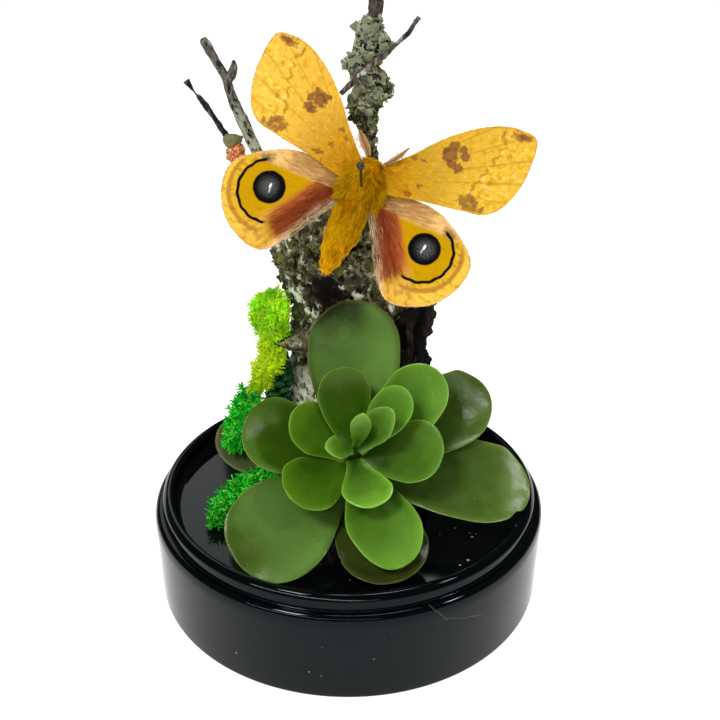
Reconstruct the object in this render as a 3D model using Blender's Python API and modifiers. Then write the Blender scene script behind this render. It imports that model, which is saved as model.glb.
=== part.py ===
"""Moth display: a pinned moth in front of lichened wood, with a succulent and moss, on a round black base.

Lengths are in millimetres and become metres where a mesh is written. +Z is up, the front is -Y, and the
origin is the centre of the base's underside.
"""
import math

import bmesh
import bpy
from mathutils import Matrix, Vector, noise

MM = 0.001

# Driving dimensions
BASE_RADIUS = 50.0
SHOULDER_HEIGHT = 23.9
LIP_RADIUS = 47.7
LIP_THICKNESS = 2.8
LIP_HEIGHT = 27.7
FLOOR_HEIGHT = 23.0
CLEARANCE = 0.3
TRUNK_TOP = 98.5
TREE_HEIGHT = 150.0
STEM_RADIUS = 2.4
LEAF_THICKNESS = 1.5
WING_THICKNESS = 0.5
PIN_RADIUS = 0.3
PIN_HEAD_RADIUS = 0.8
PIN_LENGTH = 40.0

FOOT = FLOOR_HEIGHT + CLEARANCE


# Scene, materials and objects

for old_object in list(bpy.data.objects):
    bpy.data.objects.remove(old_object, do_unlink=True)

display = bpy.data.collections.new("moth_display")
cutters = bpy.data.collections.new("cutters")
bpy.context.scene.collection.children.link(display)
bpy.context.scene.collection.children.link(cutters)


def finish(name, color, roughness, metallic=0.0):
    """A Principled material for one sub-part."""
    material = bpy.data.materials.new(name)
    material.use_nodes = True
    shader = material.node_tree.nodes["Principled BSDF"]
    shader.inputs["Base Color"].default_value = (*color, 1.0)
    shader.inputs["Roughness"].default_value = roughness
    shader.inputs["Metallic"].default_value = metallic
    return material


def add_object(name, data, material, parent=None):
    """Put mesh or curve data into the display as a named object."""
    piece = bpy.data.objects.new(name, data)
    data.materials.append(material)
    display.objects.link(piece)
    piece.parent = parent
    return piece


def mesh_from(bm, name, smooth=True):
    """Write a bmesh in millimetres to a mesh in metres."""
    bmesh.ops.scale(bm, vec=(MM, MM, MM), verts=bm.verts)
    mesh = bpy.data.meshes.new(name)
    bm.to_mesh(mesh)
    bm.free()
    if smooth:
        mesh.shade_smooth()
    return mesh


# Forms along a spine

# Share of a spine over which its direction is read
NEARBY = 0.002


def smooth_station(stations, t):
    """Catmull-Rom value of a list of equal-length tuples at t between 0 and 1."""
    last = len(stations) - 1
    step = min(int(t * last), last - 1)
    s = t * last - step
    before = stations[max(step - 1, 0)]
    start = stations[step]
    end = stations[step + 1]
    after = stations[min(step + 2, last)]
    return [
        0.5 * (2 * b + (c - a) * s + (2 * a - 5 * b + 4 * c - d) * s * s + (3 * b - a - 3 * c + d) * s ** 3)
        for a, b, c, d in zip(before, start, end, after)
    ]


def spine_frame(stations, t, across, level):
    """Centre, width and depth directions, half width and half depth at t; a level ring stays horizontal."""
    x, y, z, half_width, half_depth = smooth_station(stations, t)
    ahead = Vector(smooth_station(stations, min(t + NEARBY, 1.0))[:3])
    behind = Vector(smooth_station(stations, max(t - NEARBY, 0.0))[:3])
    tangent = Vector((0, 0, 1)) if level else (ahead - behind).normalized()
    width_way = (Vector(across) - tangent * tangent.dot(Vector(across))).normalized()
    depth_way = tangent.cross(width_way)
    return Vector((x, y, z)), width_way, depth_way, half_width, half_depth


def spine_mesh(stations, sides, rings, across=(1, 0, 0), relief=None, level=False):
    """A closed form round a spine of (x, y, z, half width, half depth) stations.

    A cylinder is cut into rings, and each of its points moves out to the form's skin.
    """
    bm = bmesh.new()
    bmesh.ops.create_cone(bm, cap_ends=True, segments=sides, radius1=1, radius2=1, depth=1)
    uprights = [e for e in bm.edges if abs(e.verts[0].co.z - e.verts[1].co.z) > 0.5]
    bmesh.ops.subdivide_edges(bm, edges=uprights, cuts=rings - 1, use_grid_fill=True)
    for vert in bm.verts:
        t = vert.co.z + 0.5
        centre, width_way, depth_way, half_width, half_depth = spine_frame(stations, t, across, level)
        out = width_way * vert.co.x * half_width + depth_way * vert.co.y * half_depth
        point = centre + out
        if relief:
            settled = min(1.0, t * rings / 2.0, (1.0 - t) * rings / 2.0)
            point += out.normalized() * relief(point, out.normalized()) * settled
        vert.co = point
    return bm


def spine_form(name, stations, sides, rings, material, parent=None, **options):
    """An object of the form that spine_mesh makes."""
    bm = spine_mesh(stations, sides, rings, **options)
    return add_object(name, mesh_from(bm, name), material, parent)


def twig(name, points, material, resolution=1):
    """A tapered round twig through (x, y, z, radius) points, as a curve with filled caps."""
    curve = bpy.data.curves.new(name, "CURVE")
    curve.dimensions = "3D"
    curve.bevel_depth = MM
    curve.bevel_resolution = resolution
    curve.use_fill_caps = True
    spline = curve.splines.new("POLY")
    spline.points.add(len(points) - 1)
    for spot, (x, y, z, radius) in zip(spline.points, points):
        spot.co = (x * MM, y * MM, z * MM, 1.0)
        spot.radius = radius
    return add_object(name, curve, material)


def to_mesh_object(piece):
    """Turn a curve object into a mesh object with welded caps."""
    depsgraph = bpy.context.evaluated_depsgraph_get()
    mesh = bpy.data.meshes.new_from_object(piece.evaluated_get(depsgraph))
    bm = bmesh.new()
    bm.from_mesh(mesh)
    bmesh.ops.remove_doubles(bm, verts=bm.verts, dist=0.01 * MM)
    bm.to_mesh(mesh)
    bm.free()
    name = piece.name
    material = piece.data.materials[0]
    matrix = piece.matrix_world.copy()
    parent = piece.parent
    bpy.data.objects.remove(piece, do_unlink=True)
    mesh.materials.clear()
    solid = add_object(name, mesh, material, parent)
    solid.matrix_world = matrix
    return solid


def boolean(target, tool, operation):
    """Join a tool to its target, or cut it away, and keep the tool as a guide only."""
    tool.hide_render = True
    tool.display_type = "WIRE"
    for collection in list(tool.users_collection):
        collection.objects.unlink(tool)
    cutters.objects.link(tool)
    modifier = target.modifiers.new(tool.name, "BOOLEAN")
    modifier.operation = operation
    modifier.solver = "EXACT"
    modifier.object = tool


def lumps(size, height, seed=0.0):
    """A relief of rounded lumps of a size and a height."""
    shift = Vector((seed, seed * 1.7, seed * 0.6))
    return lambda point, out: height * noise.noise(point / size + shift)


# Base: a turned black disc with a recessed floor, a rounded lip, and a ledge outside it for a dome

def base():
    """The turned base: its profile runs from the floor's centre over the lip to the underside."""
    inner = LIP_RADIUS - LIP_THICKNESS
    side = BASE_RADIUS
    profile = [
        (0, FLOOR_HEIGHT),
        (inner - 1.0, FLOOR_HEIGHT),
        (inner, FLOOR_HEIGHT + 1.0),
        (inner, LIP_HEIGHT - 0.9),
        (inner + 0.7, LIP_HEIGHT),
        (LIP_RADIUS - 1.0, LIP_HEIGHT),
        (LIP_RADIUS, LIP_HEIGHT - 1.1),
        (LIP_RADIUS, SHOULDER_HEIGHT),
        (side - 1.0, SHOULDER_HEIGHT),
        (side - 0.25, SHOULDER_HEIGHT - 0.75),
        (side, SHOULDER_HEIGHT - 2.4),
        (side - 0.4, 0.6),
        (side - 1.0, 0),
        (0, 0),
    ]
    bm = bmesh.new()
    spots = [bm.verts.new((radius, 0, height)) for radius, height in profile]
    for first, second in zip(spots, spots[1:]):
        bm.edges.new((first, second))
    black = finish("base_black", (0.012, 0.012, 0.013), 0.12)
    disc = add_object("base", mesh_from(bm, "base", smooth=False), black)
    screw = disc.modifiers.new("turned", "SCREW")
    screw.steps = 48
    screw.render_steps = 48
    screw.merge_threshold = 0.0001
    screw.use_merge_vertices = True


# Wood: a gnarled trunk that stands on the base's floor, with two forks on its broken top, and three twigs

# x, y, z, half width, half depth
TRUNK = [
    (-4.0, 12.5, FOOT, 12.5, 8.5),
    (-4.0, 12.5, 33.0, 11.2, 8.0),
    (-4.4, 12.5, 46.0, 10.5, 7.8),
    (-3.8, 12.2, 56.0, 10.8, 7.8),
    (-2.2, 12.0, 66.0, 12.0, 7.6),
    (-0.6, 11.6, 74.0, 13.0, 7.6),
    (-2.6, 11.4, 81.0, 14.2, 7.4),
    (-4.4, 11.2, 87.5, 14.0, 6.8),
    (-3.2, 10.2, 93.5, 12.0, 5.8),
    (-3.2, 10.2, TRUNK_TOP, 9.4, 5.0),
]
STUB_HEIGHT = 68.0
STUB_LENGTH = 9.0
HOLLOW = Vector((-2.5, 4.0, 80.0))
HOLLOW_SIZE = 5.0
HOLLOW_DEPTH = 3.2

CENTRAL_BRANCH = [
    (2.4, 9.6, TRUNK_TOP + CLEARANCE, 3.0, 2.8),
    (2.4, 9.6, 100.6, 2.8, 2.6),
    (4.2, 9.4, 104.0, 2.0, 2.0),
    (5.1, 9.1, 108.0, 1.5, 1.5),
    (5.1, 9.0, 112.0, 1.4, 1.4),
    (4.1, 9.0, 116.0, 2.2, 2.0),
    (3.5, 9.0, 118.5, 3.0, 2.4),
    (3.9, 9.0, 121.9, 3.8, 2.8),
    (5.4, 9.0, 124.6, 4.4, 2.8),
    (5.2, 9.0, 127.4, 4.0, 2.6),
    (3.0, 9.0, 130.5, 4.2, 2.6),
    (4.0, 9.0, 132.8, 3.9, 2.6),
    (5.2, 9.0, 135.2, 4.1, 2.6),
    (4.5, 9.0, 139.4, 2.6, 2.2),
    (5.5, 9.0, 141.8, 1.5, 1.5),
    (6.1, 9.0, 145.5, 1.55, 1.5),
    (6.1, 9.0, TREE_HEIGHT, 1.5, 1.5),
]

# x, y, z, radius
CROSS_TWIG = [
    (-0.8, 4.5, 125.0, 1.0),
    (1.2, 4.5, 127.2, 1.1),
    (3.6, 4.6, 129.7, 0.9),
    (6.4, 4.7, 131.9, 0.8),
    (9.8, 4.8, 134.5, 0.7),
    (12.9, 4.8, 137.0, 0.7),
    (14.2, 4.7, 139.2, 0.6),
    (15.4, 4.7, 140.9, 0.55),
]
LEFT_BRANCH = [
    (-11.0, 10.0, TRUNK_TOP + CLEARANCE, 1.6),
    (-11.0, 10.0, 100.2, 1.6),
    (-14.4, 9.4, 102.4, 1.5),
    (-18.5, 8.8, 105.9, 1.45),
    (-21.6, 8.2, 112.0, 1.35),
    (-23.9, 7.8, 117.8, 1.4),
    (-25.6, 7.4, 122.0, 1.25),
    (-26.5, 7.2, 124.9, 1.1),
    (-27.4, 7.0, 128.2, 1.0),
    (-29.2, 7.0, 131.4, 0.8),
    (-31.3, 7.0, 136.7, 0.7),
]
LEFT_STUB = [
    (-27.0, 7.0, 126.9, 0.7),
    (-25.8, 6.6, 129.1, 0.75),
    (-25.3, 6.4, 130.9, 0.6),
    (-25.5, 6.4, 132.1, 0.2),
]
THIN_TWIG = [
    (-21.6, 10.0, 106.4, 0.8),
    (-23.6, 9.4, 108.2, 0.85),
    (-26.4, 8.8, 112.2, 0.8),
    (-28.3, 8.6, 114.9, 0.7),
    (-30.9, 8.4, 119.3, 0.6),
    (-32.2, 8.4, 121.5, 0.45),
    (-33.8, 8.4, 123.4, 0.28),
    (-34.8, 8.4, 124.7, 0.3),
    (-36.2, 8.4, 126.9, 0.6),
]


def gnarled(point, out):
    """Bark relief: lumps, upright ridges, the broken stub at the left and the hollow at the front."""
    ridge = 0.9 * noise.noise(Vector((point.x / 3.5, point.y / 3.5, point.z / 14.0)))
    lump = 1.3 * noise.noise(point / 6.0 + Vector((4.0, 1.0, 2.0)))
    facing_left = max(0.0, -out.x) ** 10
    stub = STUB_LENGTH * facing_left * math.exp(-((point.z - STUB_HEIGHT) / 2.8) ** 2)
    to_hollow = (point - HOLLOW).length / HOLLOW_SIZE
    hollow = HOLLOW_DEPTH * math.exp(-to_hollow ** 2)
    return ridge + lump + stub - hollow


def wood():
    """The trunk, its forks and twigs."""
    bark = finish("bark", (0.13, 0.12, 0.09), 0.9)
    grey = finish("grey_bark", (0.20, 0.20, 0.17), 0.85)
    dark = finish("dark_twig", (0.035, 0.03, 0.03), 0.8)
    spine_form("trunk", TRUNK, 20, 20, bark, relief=gnarled)
    spine_form("central_branch", CENTRAL_BRANCH, 10, 26, bark, relief=lumps(2.2, 0.7, 3.0), level=True)
    twig("cross_twig", CROSS_TWIG, dark)
    branch = to_mesh_object(twig("left_branch", LEFT_BRANCH, grey))
    stub = to_mesh_object(twig("left_stub", LEFT_STUB, grey))
    boolean(branch, stub, "UNION")
    twig("thin_twig", THIN_TWIG, dark)


# A slab of bark behind the succulent, and the dried bud on the thin twig

BARK_SLAB = [
    (16.6, 9.0, FOOT, 5.6, 3.0),
    (16.6, 9.0, 38.0, 5.4, 3.0),
    (16.6, 8.6, 54.0, 4.4, 2.6),
    (16.9, 8.0, 61.0, 4.2, 2.6),
    (15.8, 7.6, 65.6, 3.2, 2.4),
    (17.2, 7.0, 70.0, 4.2, 2.2),
    (17.8, 6.6, 74.6, 2.6, 1.4),
]
BUD_CAP = [
    (-26.3, 6.2, 117.0, 0.9, 0.7),
    (-26.4, 6.0, 116.2, 2.0, 1.4),
    (-26.2, 5.8, 114.9, 2.3, 1.5),
    (-25.8, 5.6, 113.6, 1.8, 1.2),
]
BUD_TUFT = [
    (-25.7, 5.5, 113.2, 1.5, 1.2),
    (-25.4, 5.4, 112.2, 2.1, 1.5),
    (-26.2, 5.6, 110.9, 2.2, 1.5),
    (-26.9, 5.6, 109.9, 1.4, 1.0),
]


def bark_and_bud():
    """An upright slab of dark bark, and the bud's cap with its crumbly petals."""
    dark = finish("dark_bark", (0.045, 0.028, 0.02), 0.9)
    olive = finish("bud_olive", (0.20, 0.20, 0.10), 0.6)
    coral = finish("bud_coral", (0.75, 0.22, 0.10), 0.8)
    spine_form("bark_slab", BARK_SLAB, 10, 12, dark, relief=lumps(3.5, 0.9, 7.0))
    spine_form("bud_cap", BUD_CAP, 8, 5, olive)
    spine_form("bud_tuft", BUD_TUFT, 8, 5, coral, relief=lumps(1.0, 0.5, 2.0))


# Moss clumps and the small bead plant, between the trunk and the base's left edge

MOSS_UPPER = [
    (-23.4, 3.6, 51.6, 2.0, 2.0),
    (-23.0, 3.8, 54.0, 3.2, 2.8),
    (-22.2, 4.2, 59.0, 3.2, 2.8),
    (-22.0, 4.6, 64.0, 2.4, 2.4),
    (-21.6, 5.0, 68.4, 3.4, 3.0),
    (-20.4, 5.4, 72.0, 5.2, 3.8),
    (-20.2, 5.8, 75.6, 5.2, 3.8),
    (-19.6, 6.2, 79.0, 2.6, 2.8),
]
MOSS_MIDDLE = [
    (-24.8, 2.4, 50.0, 1.6, 1.6),
    (-25.6, 1.2, 48.2, 3.4, 2.6),
    (-27.4, -1.4, 45.0, 3.6, 2.6),
    (-29.0, -4.2, 41.4, 3.6, 2.4),
    (-30.0, -6.8, 38.2, 1.8, 1.4),
]
MOSS_FLOOR = [
    (-15.5, 3.0, 26.2, 2.0, 2.0),
    (-19.0, 0.0, 27.2, 4.0, 3.4),
    (-24.0, -3.4, 26.4, 4.4, 2.9),
    (-29.0, -7.0, 25.6, 4.2, 2.2),
    (-33.0, -10.4, 24.8, 2.6, 1.4),
    (-36.0, -14.0, 24.2, 0.8, 0.6),
]
BEAD_PLANT = [
    (-19.2, 9.4, FOOT, 1.3, 1.3),
    (-19.2, 9.4, 34.0, 1.4, 1.4),
    (-18.8, 9.2, 42.0, 2.6, 2.6),
    (-18.2, 9.2, 48.0, 2.9, 2.8),
    (-18.2, 9.0, 55.0, 2.6, 2.4),
    (-18.4, 9.0, 60.0, 1.2, 1.2),
]


def bead_relief(point, out):
    """Plump leaves in a spiral: rounded bumps above the bare stem."""
    turn = math.atan2(out.y, out.x)
    wave = math.cos(3 * turn + point.z * 1.1) * math.cos(point.z * 1.1)
    return 0.6 * wave if point.z > 40 else 0.0


def plants_at_the_left():
    """Three moss clumps and the small dark bead plant."""
    lime = finish("moss_lime", (0.36, 0.62, 0.01), 0.9)
    green = finish("moss_green", (0.03, 0.40, 0.03), 0.9)
    dark = finish("bead_green", (0.02, 0.10, 0.03), 0.5)
    spine_form("moss_upper", MOSS_UPPER, 10, 10, lime, relief=lumps(3.0, 1.1, 5.0))
    spine_form("moss_middle", MOSS_MIDDLE, 10, 7, green, relief=lumps(2.6, 0.7, 6.0))
    flat = (0.4, -0.9, 0.0)
    spine_form("moss_floor", MOSS_FLOOR, 10, 9, green, across=flat, relief=lumps(2.6, 0.4, 8.0))
    spine_form("bead_plant", BEAD_PLANT, 9, 10, dark, relief=bead_relief)


# Succulent: spoon-shaped leaves in a spiral round a stem that leans to the front

ROSETTE_CENTRE = Vector((1.8, -18.0, 47.5))
ROSETTE_AXIS = Vector((0.10, -0.60, 0.79)).normalized()
STEM_FOOT = (1.4, -2.0, FOOT)
# distance back from the rosette's centre, and radius
STEM_TOP = ((18.0, STEM_RADIUS), (9.0, STEM_RADIUS), (2.6, STEM_RADIUS), (1.2, STEM_RADIUS / 2))
TAPER_FROM = 2.0

# name, tip, width, distance back along the stem, cup across and arch along as shares of the size
LEAVES = [
    ("leaf_01", (1.5, 3.0, 76.4), 22.6, 10.0, 0.20, -0.05),
    ("leaf_02", (21.8, -8.0, 62.6), 15.6, 6.5, 0.22, -0.06),
    ("leaf_03", (34.2, -0.6, 54.2), 19.0, 10.6, 0.16, -0.05),
    ("leaf_04", (44.4, -14.8, 33.0), 21.0, 16.4, 0.16, 0.09),
    ("leaf_05", (22.3, -20.4, 48.8), 15.6, 4.6, 0.22, -0.06),
    ("leaf_06", (-2.0, -8.0, 63.8), 12.9, 4.4, 0.22, -0.08),
    ("leaf_07", (13.7, -14.0, 61.1), 10.0, 2.6, 0.22, -0.08),
    ("leaf_08", (8.4, -20.5, 59.4), 6.8, 1.4, 0.30, -0.06),
    ("leaf_09", (-13.2, -15.0, 55.4), 12.4, 6.4, 0.22, -0.06),
    ("leaf_10", (-25.0, -10.0, 50.0), 19.0, 11.0, 0.18, -0.05),
    ("leaf_11", (-5.2, -23.0, 50.8), 6.0, 0.6, 0.25, 0.02),
    ("leaf_12", (-13.3, -29.0, 41.3), 14.4, 6.8, 0.25, -0.06),
    ("leaf_13", (6.0, -32.0, 40.8), 11.8, 4.4, 0.22, -0.06),
    ("leaf_14", (-24.6, -35.0, 26.0), 24.4, 12.8, 0.12, 0.04),
    ("leaf_15", (12.2, -38.4, 28.7), 17.0, 9.4, 0.15, 0.05),
    ("leaf_16", (11.8, -39.3, 25.4), 21.4, 17.6, 0.10, 0.00),
    ("leaf_17", (-33.7, 0.0, 38.3), 16.6, 18.0, 0.10, -0.02),
    ("leaf_18", (3.4, -21.5, 58.7), 5.6, 0.2, -0.30, 0.08),
]
NECK = 0.20
WIDEST = 0.66
NECK_SWEEP = 1.7
TIP_ROUNDNESS = 2.3


def spoon(u):
    """Half width of a leaf, as a share of its widest, at u from neck to tip."""
    if u > WIDEST:
        return math.sqrt(max(0.0, 1.0 - ((u - WIDEST) / (1.0 - WIDEST)) ** TIP_ROUNDNESS))
    return NECK + (1.0 - NECK) * math.sin(math.pi / 2.0 * u / WIDEST) ** NECK_SWEEP


def succulent_leaf(name, tip, width, back, cup, arch, material):
    """One spoon-shaped leaf from the stem to its tip, made from a sphere."""
    stem_point = ROSETTE_CENTRE - ROSETTE_AXIS * back
    reach = Vector(tip) - stem_point
    outward = (reach - ROSETTE_AXIS * reach.dot(ROSETTE_AXIS)).normalized()
    stem_here = STEM_RADIUS if back > TAPER_FROM else STEM_RADIUS / 2
    root = stem_point + outward * (stem_here + CLEARANCE)
    length = (Vector(tip) - root).length
    along = (Vector(tip) - root).normalized()
    face = (ROSETTE_AXIS - along * along.dot(ROSETTE_AXIS)).normalized()
    across = face.cross(along)
    bm = bmesh.new()
    bmesh.ops.create_uvsphere(bm, u_segments=10, v_segments=8, radius=1.0)
    for vert in bm.verts:
        u = (1.0 + vert.co.z) / 2.0
        ring = max(math.hypot(vert.co.x, vert.co.y), 1e-6)
        side = vert.co.x / ring if ring > 0.01 else 0.0
        depth = vert.co.y / ring if ring > 0.01 else 0.0
        out = side * spoon(u) * width / 2.0
        lift = depth * LEAF_THICKNESS / 2.0 * (1.0 - 0.5 * u ** 4)
        lift += cup * out * out / (width / 2.0) + arch * length * 4.0 * u * (1.0 - u)
        vert.co = root + along * length * u + across * out + face * lift
    add_object(name, mesh_from(bm, name), material)


def succulent():
    """The stem and its leaves."""
    green = finish("leaf_green", (0.12, 0.30, 0.06), 0.45)
    foot_x, foot_y, foot_z = STEM_FOOT
    stem_points = [
        (foot_x, foot_y, foot_z, STEM_RADIUS),
        (foot_x, foot_y, foot_z + 3.5, STEM_RADIUS),
    ]
    for back, radius in STEM_TOP:
        stem_points.append((*(ROSETTE_CENTRE - ROSETTE_AXIS * back), radius))
    twig("succulent_stem", stem_points, green, resolution=2)
    for values in LEAVES:
        succulent_leaf(*values, green)


# Moth: body, four wings and two antennae on one pose, held by a pin that goes into the trunk's top

MOTH_PLACE = (3.3, -11.0, 109.7)
MOTH_LEAN = 58.0
MOTH_YAW = -1.5
MOTH_ROLL = -20.8
BODY = [
    (0.2, 5.3, 0.5, 0.9, 0.9),
    (0.2, 4.6, 0.4, 2.3, 2.0),
    (0.2, 3.2, 0.1, 3.2, 2.9),
    (0.1, 1.4, 0.0, 4.0, 3.6),
    (0.1, -0.8, -0.2, 4.5, 3.8),
    (0.0, -2.8, -0.6, 4.2, 3.8),
    (-0.1, -4.8, -0.8, 3.7, 3.4),
    (-0.2, -8.0, -0.8, 4.0, 3.5),
    (-0.4, -12.0, -1.0, 3.8, 3.3),
    (-0.6, -16.0, -1.2, 3.1, 2.7),
    (-0.6, -19.4, -1.4, 2.1, 1.8),
    (-0.5, -21.8, -1.4, 0.8, 0.7),
]
# out from the hinge and forward, for a right wing
FOREWING = [
    (1.3, -0.6), (0.9, 0.8), (0.3, 2.4), (1.9, 4.9), (4.3, 7.8), (7.8, 12.2), (12.0, 16.5), (16.4, 19.7),
    (20.4, 21.2), (23.6, 21.3), (26.4, 20.4), (26.9, 18.4), (26.9, 15.0), (26.8, 11.6), (26.0, 7.6),
    (24.6, 4.2), (22.4, 1.8), (18.8, 0.6), (14.0, -0.2), (8.0, -1.2), (3.8, -1.9), (2.0, -1.6),
]
HINDWING = [
    (1.5, 0.2), (2.4, 1.6), (4.6, 2.8), (8.5, 3.7), (13.5, 3.4), (18.2, 1.5), (22.2, -1.2), (24.4, -3.8),
    (25.0, -6.8), (24.3, -10.6), (22.3, -14.4), (19.8, -16.9), (16.5, -18.6), (13.3, -19.5),
    (10.6, -19.1), (8.2, -16.9), (6.4, -13.2), (5.1, -9.8), (3.6, -6.2), (2.1, -3.4), (1.4, -1.6),
]
HINGE_OUT = 3.2
# name, outline, side, hinge along the body, lift, dihedral, turn, stretch out, stretch forward
WINGS = [
    ("forewing_left", FOREWING, -1, 2.0, 0.6, 3.0, 2.4, 0.97, 1.01),
    ("forewing_right", FOREWING, 1, 2.0, 0.6, 3.0, -2.2, 1.00, 0.99),
    ("hindwing_left", HINDWING, -1, -2.5, -0.5, 2.0, 3.4, 0.99, 1.02),
    ("hindwing_right", HINDWING, 1, -2.5, -0.5, 2.0, -1.0, 0.99, 0.98),
]
# x, y, z, half width, half depth
ANTENNAE = {
    "antenna_left": [
        (-0.9, 5.5, 1.0, 0.5, 0.25),
        (-2.0, 6.8, 1.2, 1.15, 0.25),
        (-3.6, 8.4, 1.4, 0.95, 0.25),
        (-5.0, 9.9, 1.5, 0.2, 0.1),
    ],
    "antenna_right": [
        (2.6, 4.9, 1.3, 0.3, 0.25),
        (3.8, 5.9, 1.7, 0.75, 0.25),
        (5.2, 7.8, 2.0, 0.65, 0.25),
        (6.4, 10.0, 2.1, 0.15, 0.1),
    ],
}
LEG_HIPS = ((1.4, 3.0), (1.8, 0.8), (1.8, -2.2))
PIN_PLACE = (0.3, -2.0, 0.0)
PIN_TILT = -10.0
PIN_ABOVE = 13.2


def wing(name, outline, side, hinge, lift, dihedral, turn, stretch_out, stretch_forward, pose, material):
    """A flat wing cut from a closed smooth outline, mirrored for the left side."""
    curve = bpy.data.curves.new(name, "CURVE")
    curve.dimensions = "2D"
    curve.fill_mode = "BOTH"
    curve.extrude = WING_THICKNESS / 2 * MM
    curve.resolution_u = 2
    spline = curve.splines.new("BEZIER")
    spline.bezier_points.add(len(outline) - 1)
    for spot, (out, forward) in zip(spline.bezier_points, outline):
        spot.co = (side * out * stretch_out * MM, forward * stretch_forward * MM, 0)
        spot.handle_left_type = "AUTO"
        spot.handle_right_type = "AUTO"
    spline.use_cyclic_u = True
    piece = add_object(name, curve, material, pose)
    place = Matrix.Translation(Vector((side * HINGE_OUT, hinge, lift)) * MM)
    tilt = Matrix.Rotation(math.radians(-side * dihedral), 4, "Y")
    piece.matrix_local = place @ tilt @ Matrix.Rotation(math.radians(side * turn), 4, "Z")


def leg(name, side, out, along, material, pose):
    """A leg folded under the body, from its hip over the knee to the foot."""
    stations = [
        (side * out, along, -2.4, 0.6, 0.6),
        (side * (out + 1.4), along + 0.6, -4.6, 0.45, 0.45),
        (side * (out + 0.4), along - 2.0, -5.8, 0.25, 0.25),
    ]
    return spine_form(name, stations, 5, 4, material, across=(0, 1, 0), parent=pose)


def pin(pose, material):
    """The turned insect pin: a ball head on a straight shaft with a point."""
    below = PIN_ABOVE - PIN_LENGTH
    ball = PIN_ABOVE - PIN_HEAD_RADIUS
    profile = [(0.0, PIN_ABOVE)]
    for step in range(1, 6):
        angle = math.radians(30.0 * step)
        radius = max(PIN_HEAD_RADIUS * math.sin(angle), PIN_RADIUS)
        profile.append((radius, ball + PIN_HEAD_RADIUS * math.cos(angle)))
    profile += [(PIN_RADIUS, below + 3.0), (0.0, below)]
    bm = bmesh.new()
    spots = [bm.verts.new((radius, 0, height)) for radius, height in profile]
    for first, second in zip(spots, spots[1:]):
        bm.edges.new((first, second))
    shaft = add_object("pin", mesh_from(bm, "pin", smooth=False), material, pose)
    screw = shaft.modifiers.new("turned", "SCREW")
    screw.steps = 12
    screw.render_steps = 12
    screw.merge_threshold = 0.0001
    screw.use_merge_vertices = True
    place = Matrix.Translation(Vector(PIN_PLACE) * MM)
    upright = Matrix.Rotation(math.radians(-MOTH_ROLL), 4, "Z")
    shaft.matrix_local = place @ upright @ Matrix.Rotation(math.radians(PIN_TILT), 4, "X")
    return shaft


def pin_hole(target, shaft, top, bottom):
    """A round hole with clearance along the pin, from top to bottom, cut out of a piece."""
    bm = bmesh.new()
    wide = PIN_RADIUS + CLEARANCE
    bmesh.ops.create_cone(bm, cap_ends=True, segments=8, radius1=wide, radius2=wide, depth=top - bottom)
    bmesh.ops.translate(bm, vec=(0, 0, (top + bottom) / 2), verts=bm.verts)
    name = f"pin_hole_in_{target.name}"
    tool = add_object(name, mesh_from(bm, name, smooth=False), shaft.active_material, shaft)
    boolean(target, tool, "DIFFERENCE")


def moth():
    """The moth on its pose, with the legs joined to the body, and the pin through it."""
    fur = finish("moth_fur", (0.62, 0.36, 0.03), 0.9)
    scales = finish("wing_scales", (0.78, 0.50, 0.06), 0.8)
    feather = finish("antenna", (0.55, 0.38, 0.24), 0.8)
    steel = finish("pin_black", (0.02, 0.02, 0.02), 0.3, 1.0)
    pose = bpy.data.objects.new("moth_pose", None)
    display.objects.link(pose)
    lean = Matrix.Rotation(math.radians(MOTH_LEAN), 4, "X")
    yaw = Matrix.Rotation(math.radians(MOTH_YAW), 4, "Z")
    roll = Matrix.Rotation(math.radians(MOTH_ROLL), 4, "Z")
    pose.matrix_world = Matrix.Translation(Vector(MOTH_PLACE) * MM) @ yaw @ lean @ roll

    body = spine_form("moth_body", BODY, 12, 15, fur, relief=lumps(2.0, 0.35, 1.0), parent=pose)
    for side, hand in ((-1, "left"), (1, "right")):
        for number, (out, along) in enumerate(LEG_HIPS):
            boolean(body, leg(f"leg_{number + 1}_{hand}", side, out, along, fur, pose), "UNION")
    for values in WINGS:
        wing(*values, pose, scales)
    for name, stations in ANTENNAE.items():
        spine_form(name, stations, 6, 5, feather, parent=pose)
    shaft = pin(pose, steel)
    pin_hole(body, shaft, 8.0, -10.0)
    pin_hole(display.objects["trunk"], shaft, -15.0, PIN_ABOVE - PIN_LENGTH - 1.0)


for group in (base, wood, bark_and_bud, plants_at_the_left, succulent, moth):
    group()
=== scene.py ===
import math
import random

import bmesh
import bpy
import numpy as np
from mathutils import Matrix, Vector, noise


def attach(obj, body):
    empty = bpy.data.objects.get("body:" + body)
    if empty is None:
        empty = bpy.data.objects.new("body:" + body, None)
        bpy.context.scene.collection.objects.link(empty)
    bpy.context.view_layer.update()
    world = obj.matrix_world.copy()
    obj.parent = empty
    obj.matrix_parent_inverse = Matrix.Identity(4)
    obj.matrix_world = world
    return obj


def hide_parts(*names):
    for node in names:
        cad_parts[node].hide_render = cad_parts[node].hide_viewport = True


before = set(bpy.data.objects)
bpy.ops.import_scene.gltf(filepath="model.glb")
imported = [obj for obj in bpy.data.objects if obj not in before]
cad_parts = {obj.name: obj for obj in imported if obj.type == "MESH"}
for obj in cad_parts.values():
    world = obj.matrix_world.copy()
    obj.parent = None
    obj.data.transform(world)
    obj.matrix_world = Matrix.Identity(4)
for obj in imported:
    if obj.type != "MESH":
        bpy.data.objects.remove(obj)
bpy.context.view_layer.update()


# Camera: a normal lens in front of the display, looking down on it as the photograph does. Everything is
# modelled in millimetres, and each mesh is scaled to metres when it is finished.
MM = 0.001
CAMERA_PLACE = Vector((2.7, -218.0, 172.8))
CAMERA_DOWN = 27.0
CAMERA_ROLL = 0.3

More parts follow.
